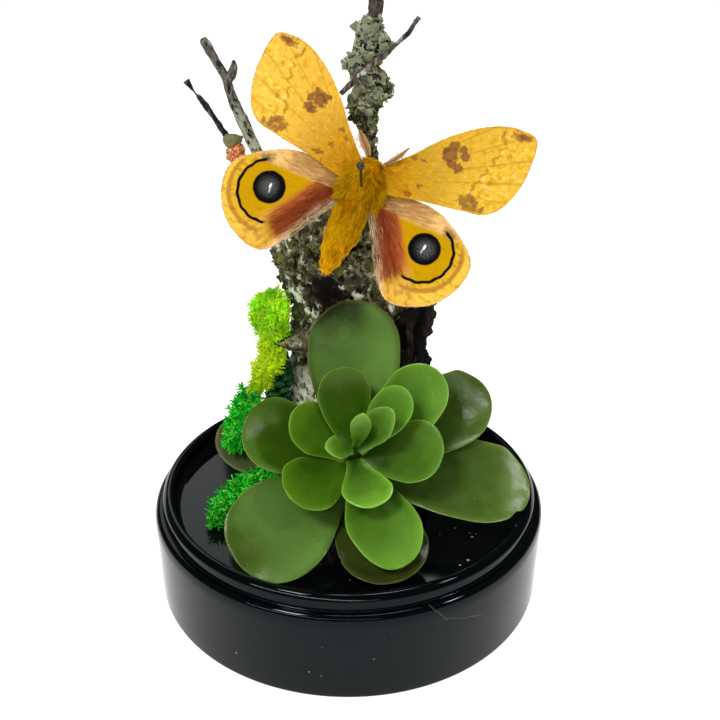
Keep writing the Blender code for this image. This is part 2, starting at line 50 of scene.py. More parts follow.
camera = bpy.data.objects.new("camera", bpy.data.cameras.new("camera"))
camera.data.lens = 50.0
camera.data.sensor_width = 36.0
camera.data.clip_start = 0.01
camera.location = CAMERA_PLACE * MM
nod = Matrix.Rotation(math.radians(90.0 - CAMERA_DOWN), 3, "X")
roll = Matrix.Rotation(math.radians(CAMERA_ROLL), 3, "Z")
camera.rotation_euler = (nod @ roll).to_euler()
bpy.context.scene.collection.objects.link(camera)
bpy.context.scene.camera = camera
bpy.context.scene.view_settings.view_transform = "Standard"


# Base: a disc of glossy black lacquered wood, turned on a lathe, with a recessed floor, a rounded lip and a
# ledge outside it for a dome. A little dust lies on it.
BASE_RADIUS = 50.0
SHOULDER_HEIGHT = 23.9
LIP_RADIUS = 47.7
LIP_THICKNESS = 2.8
LIP_HEIGHT = 27.7
FLOOR_HEIGHT = 23.0
BASE_STEPS = 160
EDGE_ROUNDING = 0.34


def rgb(red, green, blue):
    """A linear colour from 0 to 255 values as seen on a screen."""
    linear = []
    for value in (red, green, blue):
        share = value / 255.0
        linear.append(share / 12.92 if share <= 0.04045 else ((share + 0.055) / 1.055) ** 2.4)
    return (*linear, 1.0)


class Reading:
    """A value on a node's socket. Python's operators on it add Math nodes to the same finish."""

    def __init__(self, look, socket):
        self.look = look
        self.socket = socket

    def math(self, operation, *others):
        return self.look.add("Math", {"operation": operation}, dict(enumerate((self, *others))))

    def __add__(self, other):
        return self.math("ADD", other)

    def __sub__(self, other):
        return self.math("SUBTRACT", other)

    def __rsub__(self, other):
        return self.look.add("Math", {"operation": "SUBTRACT"}, {0: other, 1: self})

    def __mul__(self, other):
        return self.math("MULTIPLY", other)

    def __abs__(self):
        return self.math("ABSOLUTE")

    __radd__ = __add__
    __rmul__ = __mul__

    def most(self, other):
        return self.math("MAXIMUM", other)

    def between(self, start, end):
        """0 at start and 1 at end, with a soft step between them."""
        settings = {"interpolation_type": "SMOOTHSTEP"}
        return self.look.add("MapRange", settings, {"Value": self, "From Min": start, "From Max": end})


class Look:
    """A finish: a Principled material whose sockets take values or Readings."""

    def __init__(self, name, **values):
        self.material = bpy.data.materials.new(name)
        self.material.use_nodes = True
        self.tree = self.material.node_tree
        self.shader = self.tree.nodes["Principled BSDF"]
        self.set(**values)

    def fill(self, socket, value):
        if isinstance(value, Reading):
            self.tree.links.new(value.socket, socket)
        else:
            socket.default_value = value

    def set(self, **values):
        """Fill sockets of the shader: base_color is its Base Color."""
        for name, value in values.items():
            socket = name.replace("_", " ").title().replace("Ior", "IOR")
            self.fill(self.shader.inputs[socket], value)

    def add(self, kind, settings, inputs, output=0):
        """Add a shader node with its settings and its inputs, and read one of its outputs."""
        node = self.tree.nodes.new("ShaderNode" + kind)
        for name, value in settings.items():
            setattr(node, name, value)
        for key, value in inputs.items():
            self.fill(node.inputs[key], value)
        return Reading(self, node.outputs[output])

    def mix(self, first, second, share):
        """A colour from first to second."""
        return self.add("Mix", {"data_type": "RGBA"}, {0: share, 6: first, 7: second}, 2)

    def scaled(self, colour, share):
        """A colour made darker or lighter by a share."""
        return self.add("VectorMath", {"operation": "SCALE"}, {0: colour, "Scale": share})

    def layers(self, colour, *steps):
        """Lay colours over one another, each where its mask is 1."""
        for over, mask in steps:
            colour = self.mix(colour, over, mask)
        return colour

    def place(self, stretch=(1.0, 1.0, 1.0), turn=(0.0, 0.0, 0.0)):
        """Object coordinates in millimetres, stretched and turned."""
        coordinates = self.add("TexCoord", {}, {}, "Object")
        scale = tuple(s / MM for s in stretch)
        return self.add("Mapping", {}, {"Vector": coordinates, "Scale": scale, "Rotation": turn})

    def vector(self, operation, *inputs):
        """Vector maths: a vector, or a single value where the operation measures one."""
        output = "Value" if operation in ("DISTANCE", "LENGTH", "DOT_PRODUCT") else "Vector"
        return self.add("VectorMath", {"operation": operation}, dict(enumerate(inputs)), output)

    def axis(self, where, letter):
        """One of the three coordinates of a place."""
        return self.add("SeparateXYZ", {}, {"Vector": where}, letter)

    def attribute(self, name, output="Fac"):
        return self.add("Attribute", {"attribute_name": name}, {}, output)

    def noise(self, where, size, detail=3.0, roughness=0.55):
        """Cloudy noise from 0 to 1 with features of a size in millimetres."""
        inputs = {"Vector": where, "Scale": 1.0 / size, "Detail": detail, "Roughness": roughness}
        return self.add("TexNoise", {}, inputs)

    def cells(self, where, size):
        """Distance to the nearest point of a scatter whose spacing is a size in millimetres."""
        return self.add("TexVoronoi", {"feature": "F1"}, {"Vector": where, "Scale": 1.0 / size})

    def bump(self, height, depth):
        """Bump the surface by a height of 0 to 1, with its full depth in millimetres."""
        inputs = {"Height": height, "Distance": depth * MM, "Strength": 1.0}
        self.set(normal=self.add("Bump", {}, inputs))


def add_piece(name, mesh, look, slot, *nodes):
    """Link a finished mesh as a piece of the display, in place of CAD nodes if any are named."""
    piece = bpy.data.objects.new(name, mesh)
    mesh.materials.append(look.material)
    bpy.context.scene.collection.objects.link(piece)
    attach(piece, "root")
    if nodes:
        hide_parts(*nodes)


def add_form(name, bm, look, slot, *nodes, sharp=None):
    """Add a form in millimetres as a smooth piece in metres, with edges kept sharp beyond an angle."""
    bmesh.ops.scale(bm, vec=(MM, MM, MM), verts=bm.verts)
    mesh = bpy.data.meshes.new(name)
    bm.to_mesh(mesh)
    bm.free()
    mesh.shade_smooth()
    if sharp:
        mesh.set_sharp_from_angle(angle=math.radians(sharp))
    add_piece(name, mesh, look, slot, *nodes)


def turned(profile, steps):
    """A form turned about Z from (radius, height) points."""
    bm = bmesh.new()
    spots = [bm.verts.new((radius, 0, height)) for radius, height in profile]
    edges = [bm.edges.new(pair) for pair in zip(spots, spots[1:])]
    full = math.radians(360.0)
    bmesh.ops.spin(bm, geom=spots + edges, axis=(0, 0, 1), angle=full, steps=steps, use_merge=True)
    bmesh.ops.remove_doubles(bm, verts=bm.verts, dist=0.001)
    bmesh.ops.recalc_face_normals(bm, faces=bm.faces)
    return bm


def base_form():
    """The base's profile, turned, with every ring edge rounded."""
    inner = LIP_RADIUS - LIP_THICKNESS
    side = BASE_RADIUS
    profile = [
        (0, FLOOR_HEIGHT),
        (inner - 1.8, FLOOR_HEIGHT),
        (inner - 1.0, FLOOR_HEIGHT),
        (inner, FLOOR_HEIGHT + 1.0),
        (inner, LIP_HEIGHT - 0.9),
        (inner + 0.7, LIP_HEIGHT),
        (LIP_RADIUS - 1.0, LIP_HEIGHT),
        (LIP_RADIUS, LIP_HEIGHT - 1.1),
        (LIP_RADIUS, SHOULDER_HEIGHT),
        (side - 1.0, SHOULDER_HEIGHT),
        (side - 0.25, SHOULDER_HEIGHT - 0.75),
        (side, SHOULDER_HEIGHT - 2.4),
        (side - 0.02, SHOULDER_HEIGHT - 3.4),
        (side - 0.36, 1.8),
        (side - 0.4, 0.6),
        (side - 1.0, 0),
        (0, 0),
    ]
    bm = turned(profile, BASE_STEPS)
    rings = [e for e in bm.edges if e.is_manifold and abs(e.verts[0].co.z - e.verts[1].co.z) < 1e-4]
    corners = [e for e in rings if e.calc_face_angle() > math.radians(12.0)]
    options = {"affect": "EDGES", "segments": 4, "profile": 0.5, "material": -1}
    bmesh.ops.bevel(bm, geom=corners, offset=EDGE_ROUNDING, **options)
    return bm


# x, y, z, radius of the specks of dust and lint on the base
DUST = [
    (26.5, -15.6, 23.0, 0.40),
    (30.0, -17.6, 23.0, 0.30),
    (30.4, -19.2, 23.0, 0.42),
    (31.6, -18.0, 23.0, 0.24),
    (28.6, -28.2, 23.0, 0.46),
    (26.5, -30.1, 23.0, 0.34),
    (9.0, -41.6, 23.0, 0.20),
    (-2.5, -42.4, 23.0, 0.16),
    (40.4, -20.6, 27.7, 0.40),
    (34.5, -39.4, 26.6, 0.26),
    (18.7, -16.9, 23.0, 0.24),
    (22.6, -18.1, 23.0, 0.20),
    (0.7, -35.7, 23.0, 0.18),
    (-8.4, -49.1, 7.7, 0.26),
    (-5.7, -49.5, 6.9, 0.22),
    (6.2, -49.4, 12.0, 0.20),
    (-5.4, -49.5, 15.5, 0.16),
    (-25.6, -42.7, 7.2, 0.34),
]
# start and end of each stretch of a fine scratch on the side
SCRATCHES = [((18.4, -46.3, 24.4), (22.6, -44.4, 18.7)), ((21.6, -44.9, 19.7), (31.6, -38.6, 15.6))]
SCRATCH_WIDTH = 0.07
lacquer = Look("black lacquer", roughness=0.09, ior=1.24, specular_tint=(0.86, 1.0, 1.06, 1.0))
where = lacquer.place()
specks = lacquer.cells(where, 2.4).between(0.045, 0.03) * lacquer.noise(where, 9.0).between(0.56, 0.64)
for x, y, z, radius in DUST:
    away = lacquer.vector("DISTANCE", where, (x, y, z)) + 0.3 * radius * lacquer.noise(where, 0.3)
    specks = specks.most(away.between(radius * 1.2, radius * 0.8))
haze = lacquer.noise(where, 22.0, detail=2.0)
scratches = 0.0
for start, end in SCRATCHES:
    half_length = (Vector(end) - Vector(start)).length / 2
    middle = (Vector(start) + Vector(end)) / 2
    sideways = (Vector(end) - Vector(start)).cross(Vector((middle.x, middle.y, 0.0))).normalized()
    from_middle = lacquer.vector("SUBTRACT", where, middle)
    off = lacquer.vector("DOT_PRODUCT", from_middle, sideways) + (lacquer.noise(where, 5.0) - 0.5) * 1.6
    line = abs(off).between(SCRATCH_WIDTH * 2, SCRATCH_WIDTH)
    scratches += line * lacquer.vector("LENGTH", from_middle).between(half_length, half_length - 1.0)
lacquer.set(
    base_color=lacquer.layers(
        rgb(4, 6, 7), (rgb(176, 176, 170), specks * 0.4), (rgb(130, 134, 132), scratches * 0.2)
    ),
    roughness=0.05 + 0.04 * haze + 0.5 * specks,
)
add_form("base_turned", base_form(), lacquer, "base_black", "base", sharp=60.0)


# Wood: a gnarled, dead piece of branch that stands on the base's floor, with a tall thin fork on its broken
# top. Its bark is fissured, and pale where it is bare.
CLEARANCE = 0.3
FOOT = FLOOR_HEIGHT + CLEARANCE
TRUNK_TOP = 98.5
TREE_HEIGHT = 150.0
# x, y, z, half width, half depth
TRUNK = [
    (-4.0, 12.5, FOOT, 12.5, 8.5),
    (-4.0, 12.5, 33.0, 11.2, 8.0),
    (-4.4, 12.5, 46.0, 10.5, 7.8),
    (-3.8, 12.2, 56.0, 10.8, 7.8),
    (-2.2, 12.0, 66.0, 12.0, 7.6),
    (-0.6, 11.6, 74.0, 13.0, 7.6),
    (-2.6, 11.4, 81.0, 14.2, 7.4),
    (-4.4, 11.2, 87.5, 14.0, 6.8),
    (-3.4, 10.4, 91.6, 12.6, 5.8),
    (0.8, 9.4, 94.4, 9.6, 3.8),
    (3.6, 9.2, TRUNK_TOP, 5.2, 3.2),
]
STUB_HEIGHT = 63.8
STUB_HALF_HEIGHT = 2.2
STUB_WAY = Vector((-0.80, -0.60, 0.0))
STUB_LENGTH = 9.2
KNOT_HEIGHT = 69.5
KNOT_HALF_HEIGHT = 3.6
KNOT_LENGTH = 3.6
HOLLOW = Vector((-5.6, 4.0, 77.4))
HOLLOW_SIZE = 4.4
HOLLOW_DEPTH = 3.2
CENTRAL_BRANCH = [
    (2.4, 9.6, TRUNK_TOP + CLEARANCE, 3.0, 2.8),
    (2.4, 9.6, 100.6, 2.8, 2.6),
    (4.2, 9.4, 104.0, 2.0, 2.0),
    (5.1, 9.1, 108.0, 1.5, 1.5),
    (5.1, 9.0, 112.0, 1.4, 1.4),
    (4.1, 9.0, 116.0, 2.2, 2.0),
    (3.5, 9.0, 118.5, 3.0, 2.4),
    (3.9, 9.0, 121.9, 3.8, 2.8),
    (5.4, 9.0, 124.6, 4.4, 2.8),
    (5.2, 9.0, 127.4, 4.0, 2.6),
    (3.0, 9.0, 130.5, 4.2, 2.6),
    (4.0, 9.0, 132.8, 3.9, 2.6),
    (5.2, 9.0, 135.2, 4.1, 2.6),
    (4.5, 9.0, 139.4, 2.6, 2.2),
    (5.5, 9.0, 141.8, 1.8, 1.6),
    (6.0, 9.0, 145.5, 2.05, 1.8),
    (6.1, 9.0, TREE_HEIGHT, 2.0, 1.8),
]
# Share of a spine over which its direction is read
NEARBY = 0.002


def smooth_station(stations, t):
    """Catmull-Rom value of a list of equal-length tuples at t between 0 and 1."""
    last = len(stations) - 1
    step = min(int(t * last), last - 1)
    s = t * last - step
    before = stations[max(step - 1, 0)]
    start = stations[step]
    end = stations[step + 1]
    after = stations[min(step + 2, last)]
    return [
        0.5 * (2 * b + (c - a) * s + (2 * a - 5 * b + 4 * c - d) * s * s + (3 * b - a - 3 * c + d) * s ** 3)
        for a, b, c, d in zip(before, start, end, after)
    ]


def spine_frame(stations, t, across=(1, 0, 0), level=False):
    """Centre, width and depth directions, half width and half depth at t; a level ring stays horizontal."""
    x, y, z, half_width, half_depth = smooth_station(stations, t)
    ahead = Vector(smooth_station(stations, min(t + NEARBY, 1.0))[:3])
    behind = Vector(smooth_station(stations, max(t - NEARBY, 0.0))[:3])
    tangent = Vector((0, 0, 1)) if level else (ahead - behind).normalized()
    width_way = (Vector(across) - tangent * tangent.dot(Vector(across))).normalized()
    depth_way = tangent.cross(width_way)
    return Vector((x, y, z)), width_way, depth_way, half_width, half_depth


def spine_form(stations, sides, rings, across=(1, 0, 0), relief=None, level=False, fade=0.1, share=1.0):
    """A closed form round a spine, as wide as a share of its stations. Its relief fades in at both ends."""
    bm = bmesh.new()
    bmesh.ops.create_cone(bm, cap_ends=True, segments=sides, radius1=1, radius2=1, depth=1)
    uprights = [e for e in bm.edges if abs(e.verts[0].co.z - e.verts[1].co.z) > 0.5]
    bmesh.ops.subdivide_edges(bm, edges=uprights, cuts=rings - 1, use_grid_fill=True)
    deep = bm.verts.layers.float.new("deep")
    frames = {}
    for vert in bm.verts:
        t = min(max(vert.co.z + 0.5, 0.0), 1.0)
        row = round(t * rings)
        if row not in frames:
            frames[row] = spine_frame(stations, row / rings, across, level)
        centre, width_way, depth_way, half_width, half_depth = frames[row]
        out = width_way * vert.co.x * half_width * share + depth_way * vert.co.y * half_depth * share
        point = centre + out
        if relief:
            settled = min(1.0, t / fade, (1.0 - t) / fade)
            rise, vert[deep] = relief(point, out.normalized())
            point += out.normalized() * rise * settled
        vert.co = point
    return bm


def fissures(point):
    """Fine upright bark ridges, from -1 in a crack to 1."""
    fine = noise.noise(Vector((point.x / 1.4, point.y / 1.4, point.z / 3.2)))
    plate = noise.noise(point / 2.2 + Vector((3.0, 8.0, 1.0)))
    grain = noise.noise(point / 0.7)
    return 1.0 - 3.0 * abs(fine) - 1.2 * max(0.0, abs(plate) - 0.1) + 0.5 * grain


def gnarled(point, out):
    """The trunk's relief: lumps, ridges and bark, a stub and a knot at its sides, and a hollow in front."""
    ridge = 0.9 * noise.noise(Vector((point.x / 3.5, point.y / 3.5, point.z / 14.0)))
    lump = 1.3 * noise.noise(point / 6.0 + Vector((4.0, 1.0, 2.0)))
    facing_stub = max(0.0, out.dot(STUB_WAY)) ** 18
    stub = STUB_LENGTH * facing_stub * math.exp(-((point.z - STUB_HEIGHT) / STUB_HALF_HEIGHT) ** 2)
    facing_knot = max(0.0, out.x) ** 6
    knot = KNOT_LENGTH * facing_knot * math.exp(-((point.z - KNOT_HEIGHT) / KNOT_HALF_HEIGHT) ** 2)
    to_hollow = (point - HOLLOW).length / HOLLOW_SIZE
    hollow = math.exp(-to_hollow ** 2)
    bark = fissures(point)
    # painted shade: the hollow is given the cracks' near black colour
    deep = 0.5 + 0.35 * bark - 0.9 * hollow
    return ridge + lump + stub + knot - HOLLOW_DEPTH * hollow + 0.55 * bark - 0.3, deep


def lumps(size, height, seed=0.0, bark=0.2):
    """A relief of rounded lumps of a size and a height, with a share of fine bark on them."""
    shift = Vector((seed, seed * 1.7, seed * 0.6))

    def relief(point, out):
        fine = fissures(point)
        return height * noise.noise(point / size + shift) + bark * fine - 0.5 * bark, 0.5 + 0.4 * fine

    return relief


def shaded(colour, share):
    """A colour made darker or lighter by a share."""
    return (colour[0] * share, colour[1] * share, colour[2] * share, 1.0)


def bark_look(name, colours, pale_share, fleck=1.3, fleck_share=0.9, crust=None):
    """Bark coloured by depth, its cracks dark partly in their own colour and partly as painted shade, with
    pale patches, black flecks and a pale crust that fades out upwards.
    """
    look = Look(name, specular_ior_level=0.25)
    crack_and_shade, middle, ridge, pale = colours
    where = look.place()
    upright = look.place(stretch=(1.0, 1.0, 0.35))
    deep = look.attribute("deep") + (look.noise(upright, 0.7, detail=4.0) - 0.5) * 0.7
    patches = look.noise(where, 5.0).between(0.62 - pale_share, 0.70 - pale_share)
    if crust:
        height = look.axis(where, "Z") + (look.noise(where, 2.0) - 0.5) * 6.0
        patches = patches.most(height.between(crust[1], crust[0]))
    flecks = look.cells(upright, fleck).between(0.35, 0.23) * look.noise(where, 2.6).between(0.42, 0.55)
    colour = look.layers(
        crack_and_shade,
        # darker in the cracks and lighter on the ridges by depth: partly the bark's own colour, partly
        # painted shade
        (middle, deep.between(0.18, 0.42)),
        (ridge, deep.between(0.50, 0.85)),
        (pale, patches * deep.between(0.22, 0.48)),
        (shaded(middle, 0.5), look.noise(upright, 1.0).between(0.55, 0.64) * 0.55),
        (rgb(14, 12, 10), flecks * fleck_share),
    )
    look.set(base_color=colour, roughness=0.80 + 0.15 * look.noise(where, 1.5))
    look.bump(look.noise(upright, 0.35, detail=4.0), depth=0.25)
    return look


# Each bark's colours are those of its cracks (partly painted shade), its middle, its ridges and its pale
# patches.
trunk_bark = bark_look(
    "weathered bark",
    (rgb(12, 10, 5), rgb(70, 64, 40), rgb(142, 138, 106), rgb(238, 240, 216)),
    pale_share=0.08,
    crust=(42.0, 64.0),
)
brown_bark = bark_look(
    "brown bark",
    (rgb(14, 11, 8), rgb(46, 37, 31), rgb(84, 72, 64), rgb(118, 110, 98)),
    pale_share=-0.04,
    fleck_share=0.5,
)
trunk_form = spine_form(TRUNK, 96, 130, relief=gnarled)
add_form("trunk_wood", trunk_form.copy(), trunk_bark, "bark", "trunk")
knobbly = lumps(2.2, 0.7, 3.0, bark=0.18)
branch_form = spine_form(CENTRAL_BRANCH, 28, 120, relief=knobbly, level=True, share=0.82)
add_form("branch_wood", branch_form.copy(), brown_bark, "bark", "central_branch")


# Lichen: grey-green leafy lichen with ruffled rims, which grows over the trunk's upper half and most of the
# central branch. Each lobe is a thin cupped disc.
def prototype(bm, rise):
    """A small shape's points, triangles and the value of each point from 0 at its root to 1 at its tip."""
    bmesh.ops.triangulate(bm, faces=bm.faces)
    bm.verts.index_update()
    points = np.array([vert.co for vert in bm.verts])
    triangles = np.array([[vert.index for vert in face.verts] for face in bm.faces])
    heights = np.array([rise(vert.co) for vert in bm.verts])
    bm.free()
    return points, triangles, heights


def joined(name, copies):
    """One mesh of (prototype, matrix, root colour, tip colour) copies, coloured by an attribute."""
    all_points, all_triangles, all_colours = [], [], []
    start = 0
    for (points, triangles, heights), matrix, root, tip in copies:
        transform = np.array(matrix)
        all_points.append(points @ transform[:3, :3].T + transform[:3, 3])
        all_triangles.append(triangles + start)
        blend = heights[:, None]
        all_colours.append(np.array(root)[None, :] * (1.0 - blend) + np.array(tip)[None, :] * blend)
        start += len(points)
    points = np.concatenate(all_points) * MM
    triangles = np.concatenate(all_triangles)
    mesh = bpy.data.meshes.new(name)
    mesh.vertices.add(len(points))
    mesh.vertices.foreach_set("co", points.ravel())
    mesh.loops.add(triangles.size)
    mesh.loops.foreach_set("vertex_index", triangles.ravel())
    mesh.polygons.add(len(triangles))
    mesh.polygons.foreach_set("loop_start", np.arange(0, triangles.size, 3))
    colours = mesh.attributes.new("colour", "FLOAT_COLOR", "POINT")
    colours.data.foreach_set("color", np.concatenate(all_colours).ravel())
    mesh.update(calc_edges=True)
    mesh.shade_smooth()
    return mesh


def add_growth(name, copies, look, slot, *nodes):
    """Add many small copies as one piece."""
    add_piece(name, joined(name, copies), look, slot, *nodes)


def spots_on(bm, count, chance, rng):
    """Random (point, normal) pairs all over a form, kept with the chance that a function gives."""
    bm = bm.copy()
    bmesh.ops.triangulate(bm, faces=bm.faces)
    bm.normal_update()
    corners = np.array([[vert.co for vert in face.verts] for face in bm.faces])
    normals = np.array([face.normal for face in bm.faces])
    bm.free()
    areas = np.linalg.norm(np.cross(corners[:, 1] - corners[:, 0], corners[:, 2] - corners[:, 0]), axis=1)
    spots = []
    for index in rng.choices(range(len(areas)), weights=areas, k=count):
        a, b = sorted((rng.random(), rng.random()))
        first, second, third = corners[index]
        point = Vector(first * a + second * (b - a) + third * (1.0 - b))
        normal = Vector(normals[index])
        if rng.random() < chance(point, normal):
            spots.append((point, normal))
    return spots


def standing(point, up, spin, size):
    """A matrix that stands a shape on a point with its Z along up, turned by spin and scaled."""
    turn = up.to_track_quat("Z", "Y").to_matrix().to_4x4()
    return Matrix.Translation(point) @ turn @ Matrix.Rotation(spin, 4, "Z") @ Matrix.Diagonal((*size, 1.0))


def any_way(rng):
    """A random direction."""
    return Vector((rng.gauss(0, 1), rng.gauss(0, 1), rng.gauss(0, 1))).normalized()


def lobe(rng, segments, ruffled=1.0):
    """A thin cupped disc with a ruffled, lobed rim, of about 1 mm radius."""
    bm = bmesh.new()
    bmesh.ops.create_circle(bm, cap_ends=True, segments=segments, radius=1.0)
    bmesh.ops.inset_region(bm, faces=bm.faces[:], thickness=0.42)
    lobes = rng.choice((3, 4, 5))
    turn = rng.random() * 6.0
    for vert in bm.verts:
        angle = math.atan2(vert.co.y, vert.co.x)
        radius = vert.co.length
        spread = 1.0 + 0.26 * math.sin(lobes * angle + turn) + rng.uniform(-0.18, 0.18)
        ruffle = ruffled * (0.30 * math.sin(3 * angle + 2.0 * turn) + rng.uniform(-0.14, 0.14))
        vert.co = Vector((vert.co.x * spread, vert.co.y * spread, (0.30 + ruffle) * radius * radius))
    bmesh.ops.solidify(bm, geom=bm.faces[:], thickness=0.10)
    bmesh.ops.recalc_face_normals(bm, faces=bm.faces)
    return prototype(bm, lambda co: min(1.0, math.hypot(co.x, co.y)))


def tinted(name, roughness, **values):
    """A finish that takes its colour from each copy's own, with small mottling."""
    look = Look(name, roughness=roughness, **values)
    where = look.place()
    colour = look.attribute("colour", "Color")
    mottle = look.noise(where, 0.6)
    look.set(base_color=look.scaled(colour, 0.82 + 0.36 * mottle))
    look.bump(look.noise(where, 0.22, detail=2.0), depth=0.06)
    return look


# Each pair is the colour at a lobe's foot and at its rim.
LICHEN_PALE = (
    (rgb(120, 126, 98), rgb(172, 178, 146)),
    (rgb(92, 98, 74), rgb(146, 154, 122)),
)
LICHEN_DARK = (
    (rgb(46, 46, 28), rgb(118, 120, 88)),
    (rgb(44, 44, 18), rgb(112, 114, 58)),
    (rgb(16, 16, 10), rgb(64, 62, 40)),
)
LOBE_SHAPES = 7
# a little over a full turn, in radians
ANY_TURN = 6.3
# where the lichen grows thick on the trunk, and how far it keeps from the hollow
LICHEN_FROM = 62.0
BARE_ROUND_HOLLOW = 6.5
# heights on the central branch
PALE_LOBES_FROM = 118.0
BROAD_LOBES_FROM = 121.0
BARE_TIP_FROM = 141.0


def lichen(spots, pale_chance, large, small, large_share, lean, rng):
    """Large lobes and small crumpled ones on a form's spots, pale with the chance that a function gives."""
    broad = [lobe(rng, segments=17) for shape in range(LOBE_SHAPES)]
    frilled = [lobe(rng, segments=9, ruffled=1.6) for shape in range(LOBE_SHAPES)]
    copies = []
    for point, normal in spots:
        is_large = rng.random() < large_share
        size = rng.uniform(*large) if is_large else rng.uniform(*small)
        up = (normal + any_way(rng) * (lean if is_large else 1.1)).normalized()
        is_pale = rng.random() < pale_chance(point, normal) * (1.0 if is_large else 0.5)
        foot, rim = rng.choice(LICHEN_PALE if is_pale else LICHEN_DARK)
        tone = rng.uniform(0.55, 1.2)
        matrix = standing(point - normal * 0.15, up, rng.random() * ANY_TURN, (size, size, size))
        shape = rng.choice(broad if is_large else frilled)
        copies.append((shape, matrix, shaded(foot, tone), shaded(rim, tone)))
    return copies


def trunk_pale(point, normal):
    """Grey at the right, brownish green at the left, in patches."""
    return 0.06 + 0.50 * max(0.0, min(1.0, (point.x + 5.0) / 6.0)) + 0.3 * noise.noise(point / 3.0)


def trunk_lichen_here(point, normal):
    """Thick on the upper half, thin on the pale lower bark, and none in the hollow."""
    hollow = math.exp(-((point - HOLLOW).length / BARE_ROUND_HOLLOW) ** 2)
    upper = min(1.0, max(0.0, (point.z - LICHEN_FROM) / 10.0))
    patchy = noise.noise(point / 5.0 + Vector((9.0, 3.0, 5.0)))
    return max(0.0, (0.12 + 0.80 * upper + 0.6 * patchy) * (1.0 - 1.4 * hollow))


def broad_lobe_here(point, normal):
    """Broad lobes from the branch's middle up, thicker at its left, and none on its bare tip."""
    return 0.55 - 0.45 * normal.x if BROAD_LOBES_FROM <= point.z <= BARE_TIP_FROM else 0.0


def frill_here(point, normal):
    """Small frills all along, but for the bare tip."""
    return 0.0 if point.z > BARE_TIP_FROM else 1.0


def branch_pale(point, normal):
    """Pale on the upper left, darker towards the right and the foot."""
    upper = max(0.0, min(1.0, (point.z - PALE_LOBES_FROM) / 8.0))
    return upper * (0.72 - 0.6 * normal.x) + 0.34 + 0.5 * noise.noise(point / 2.0)


# form, spots, chance of a lobe, chance of a pale one, sizes of large ones and of small ones, share of large
# ones, lean
LICHENS = {
    "trunk_lichen": (trunk_form, 6800, trunk_lichen_here, trunk_pale, (0.8, 1.5), (0.3, 0.6), 0.14, 0.7),
    "branch_lichen": (branch_form, 420, broad_lobe_here, branch_pale, (1.0, 2.1), (0.4, 0.9), 0.55, 0.6),
    "branch_frills": (branch_form, 1500, frill_here, branch_pale, (0.8, 1.3), (0.3, 0.75), 0.12, 0.9),
}
lichen_skin = tinted("leafy lichen", roughness=0.9, specular_ior_level=0.1)
rng = random.Random(11)
for name, (form, count, lobe_chance, *growth) in LICHENS.items():
    add_growth(name, lichen(spots_on(form, count, lobe_chance, rng), *growth, rng), lichen_skin, "bark")


# Twigs: dead side twigs of the same wood. A greyish brown one crosses the central branch. At the left a grey
# branch, with a pale crust on its lower half, grows from the trunk's top and carries a thin dark twig.
# x, y, z, radius
CROSS_TWIG = [
    (-1.8, 4.5, 125.1, 0.55),
    (0.6, 4.5, 127.5, 0.75),
    (3.2, 4.6, 130.0, 0.75),
    (5.7, 4.7, 132.0, 0.65),
    (8.1, 4.8, 133.9, 0.55),
    (10.5, 4.8, 136.0, 0.5),
    (12.6, 4.8, 137.9, 0.55),
    (14.0, 4.7, 140.0, 0.5),
    (14.9, 4.7, 141.3, 0.5),
]
LEFT_BRANCH = [
    (-5.4, 9.8, 92.4, 1.9),
    (-8.0, 9.9, 96.0, 1.8),
    (-11.0, 9.9, 99.8, 1.6),
    (-14.4, 9.4, 102.4, 1.5),
    (-18.5, 8.8, 105.9, 1.45),
    (-21.6, 8.2, 112.0, 1.35),
    (-23.9, 7.8, 117.8, 1.4),
    (-25.6, 7.4, 122.0, 1.25),
    (-26.5, 7.2, 124.9, 1.1),
    (-27.4, 7.0, 128.2, 1.0),
    (-29.4, 7.0, 131.8, 0.95),
    (-31.2, 7.0, 135.2, 1.05),
    (-31.7, 7.0, 136.4, 0.6),
]
LEFT_STUB = [
    (-27.0, 7.0, 126.9, 0.8),
    (-25.9, 6.6, 128.6, 1.0),
    (-25.3, 6.4, 130.4, 0.85),
    (-25.3, 6.4, 131.8, 0.35),
]
THIN_TWIG = [
    (-18.4, 9.0, 104.6, 0.8),
    (-21.6, 10.0, 106.6, 0.8),
    (-23.6, 9.4, 108.2, 0.85),
    (-26.4, 8.8, 112.2, 0.8),
    (-28.3, 8.6, 114.9, 0.7),
    (-30.9, 8.4, 119.3, 0.6),
    (-32.4, 8.4, 121.6, 0.75),
    (-33.7, 8.4, 123.3, 0.5),
    (-34.3, 8.4, 124.0, 0.18),
    (-35.0, 8.4, 125.0, 0.3),
    (-36.3, 8.4, 127.0, 0.85),
]
RINGS_FOR_EACH_POINT = 7


def wrinkled(point, out):
    """Lengthwise wrinkles and small knots."""
    fine = noise.noise(Vector((point.x / 0.5, point.y / 0.5, point.z / 2.2)))
    knot = max(0.0, noise.noise(point / 1.6 + Vector((2.0, 7.0, 1.0))) - 0.25)
    return 0.14 * fine + 0.45 * knot - 0.02, 0.5 + 0.8 * fine


def twig_form(points):
    """A rough round twig through (x, y, z, radius) points."""
    stations = [(x, y, z, radius, radius) for x, y, z, radius in points]
    rings = RINGS_FOR_EACH_POINT * len(points)
    return spine_form(stations, 14, rings, across=(0, 1, 0), relief=wrinkled, fade=0.03)


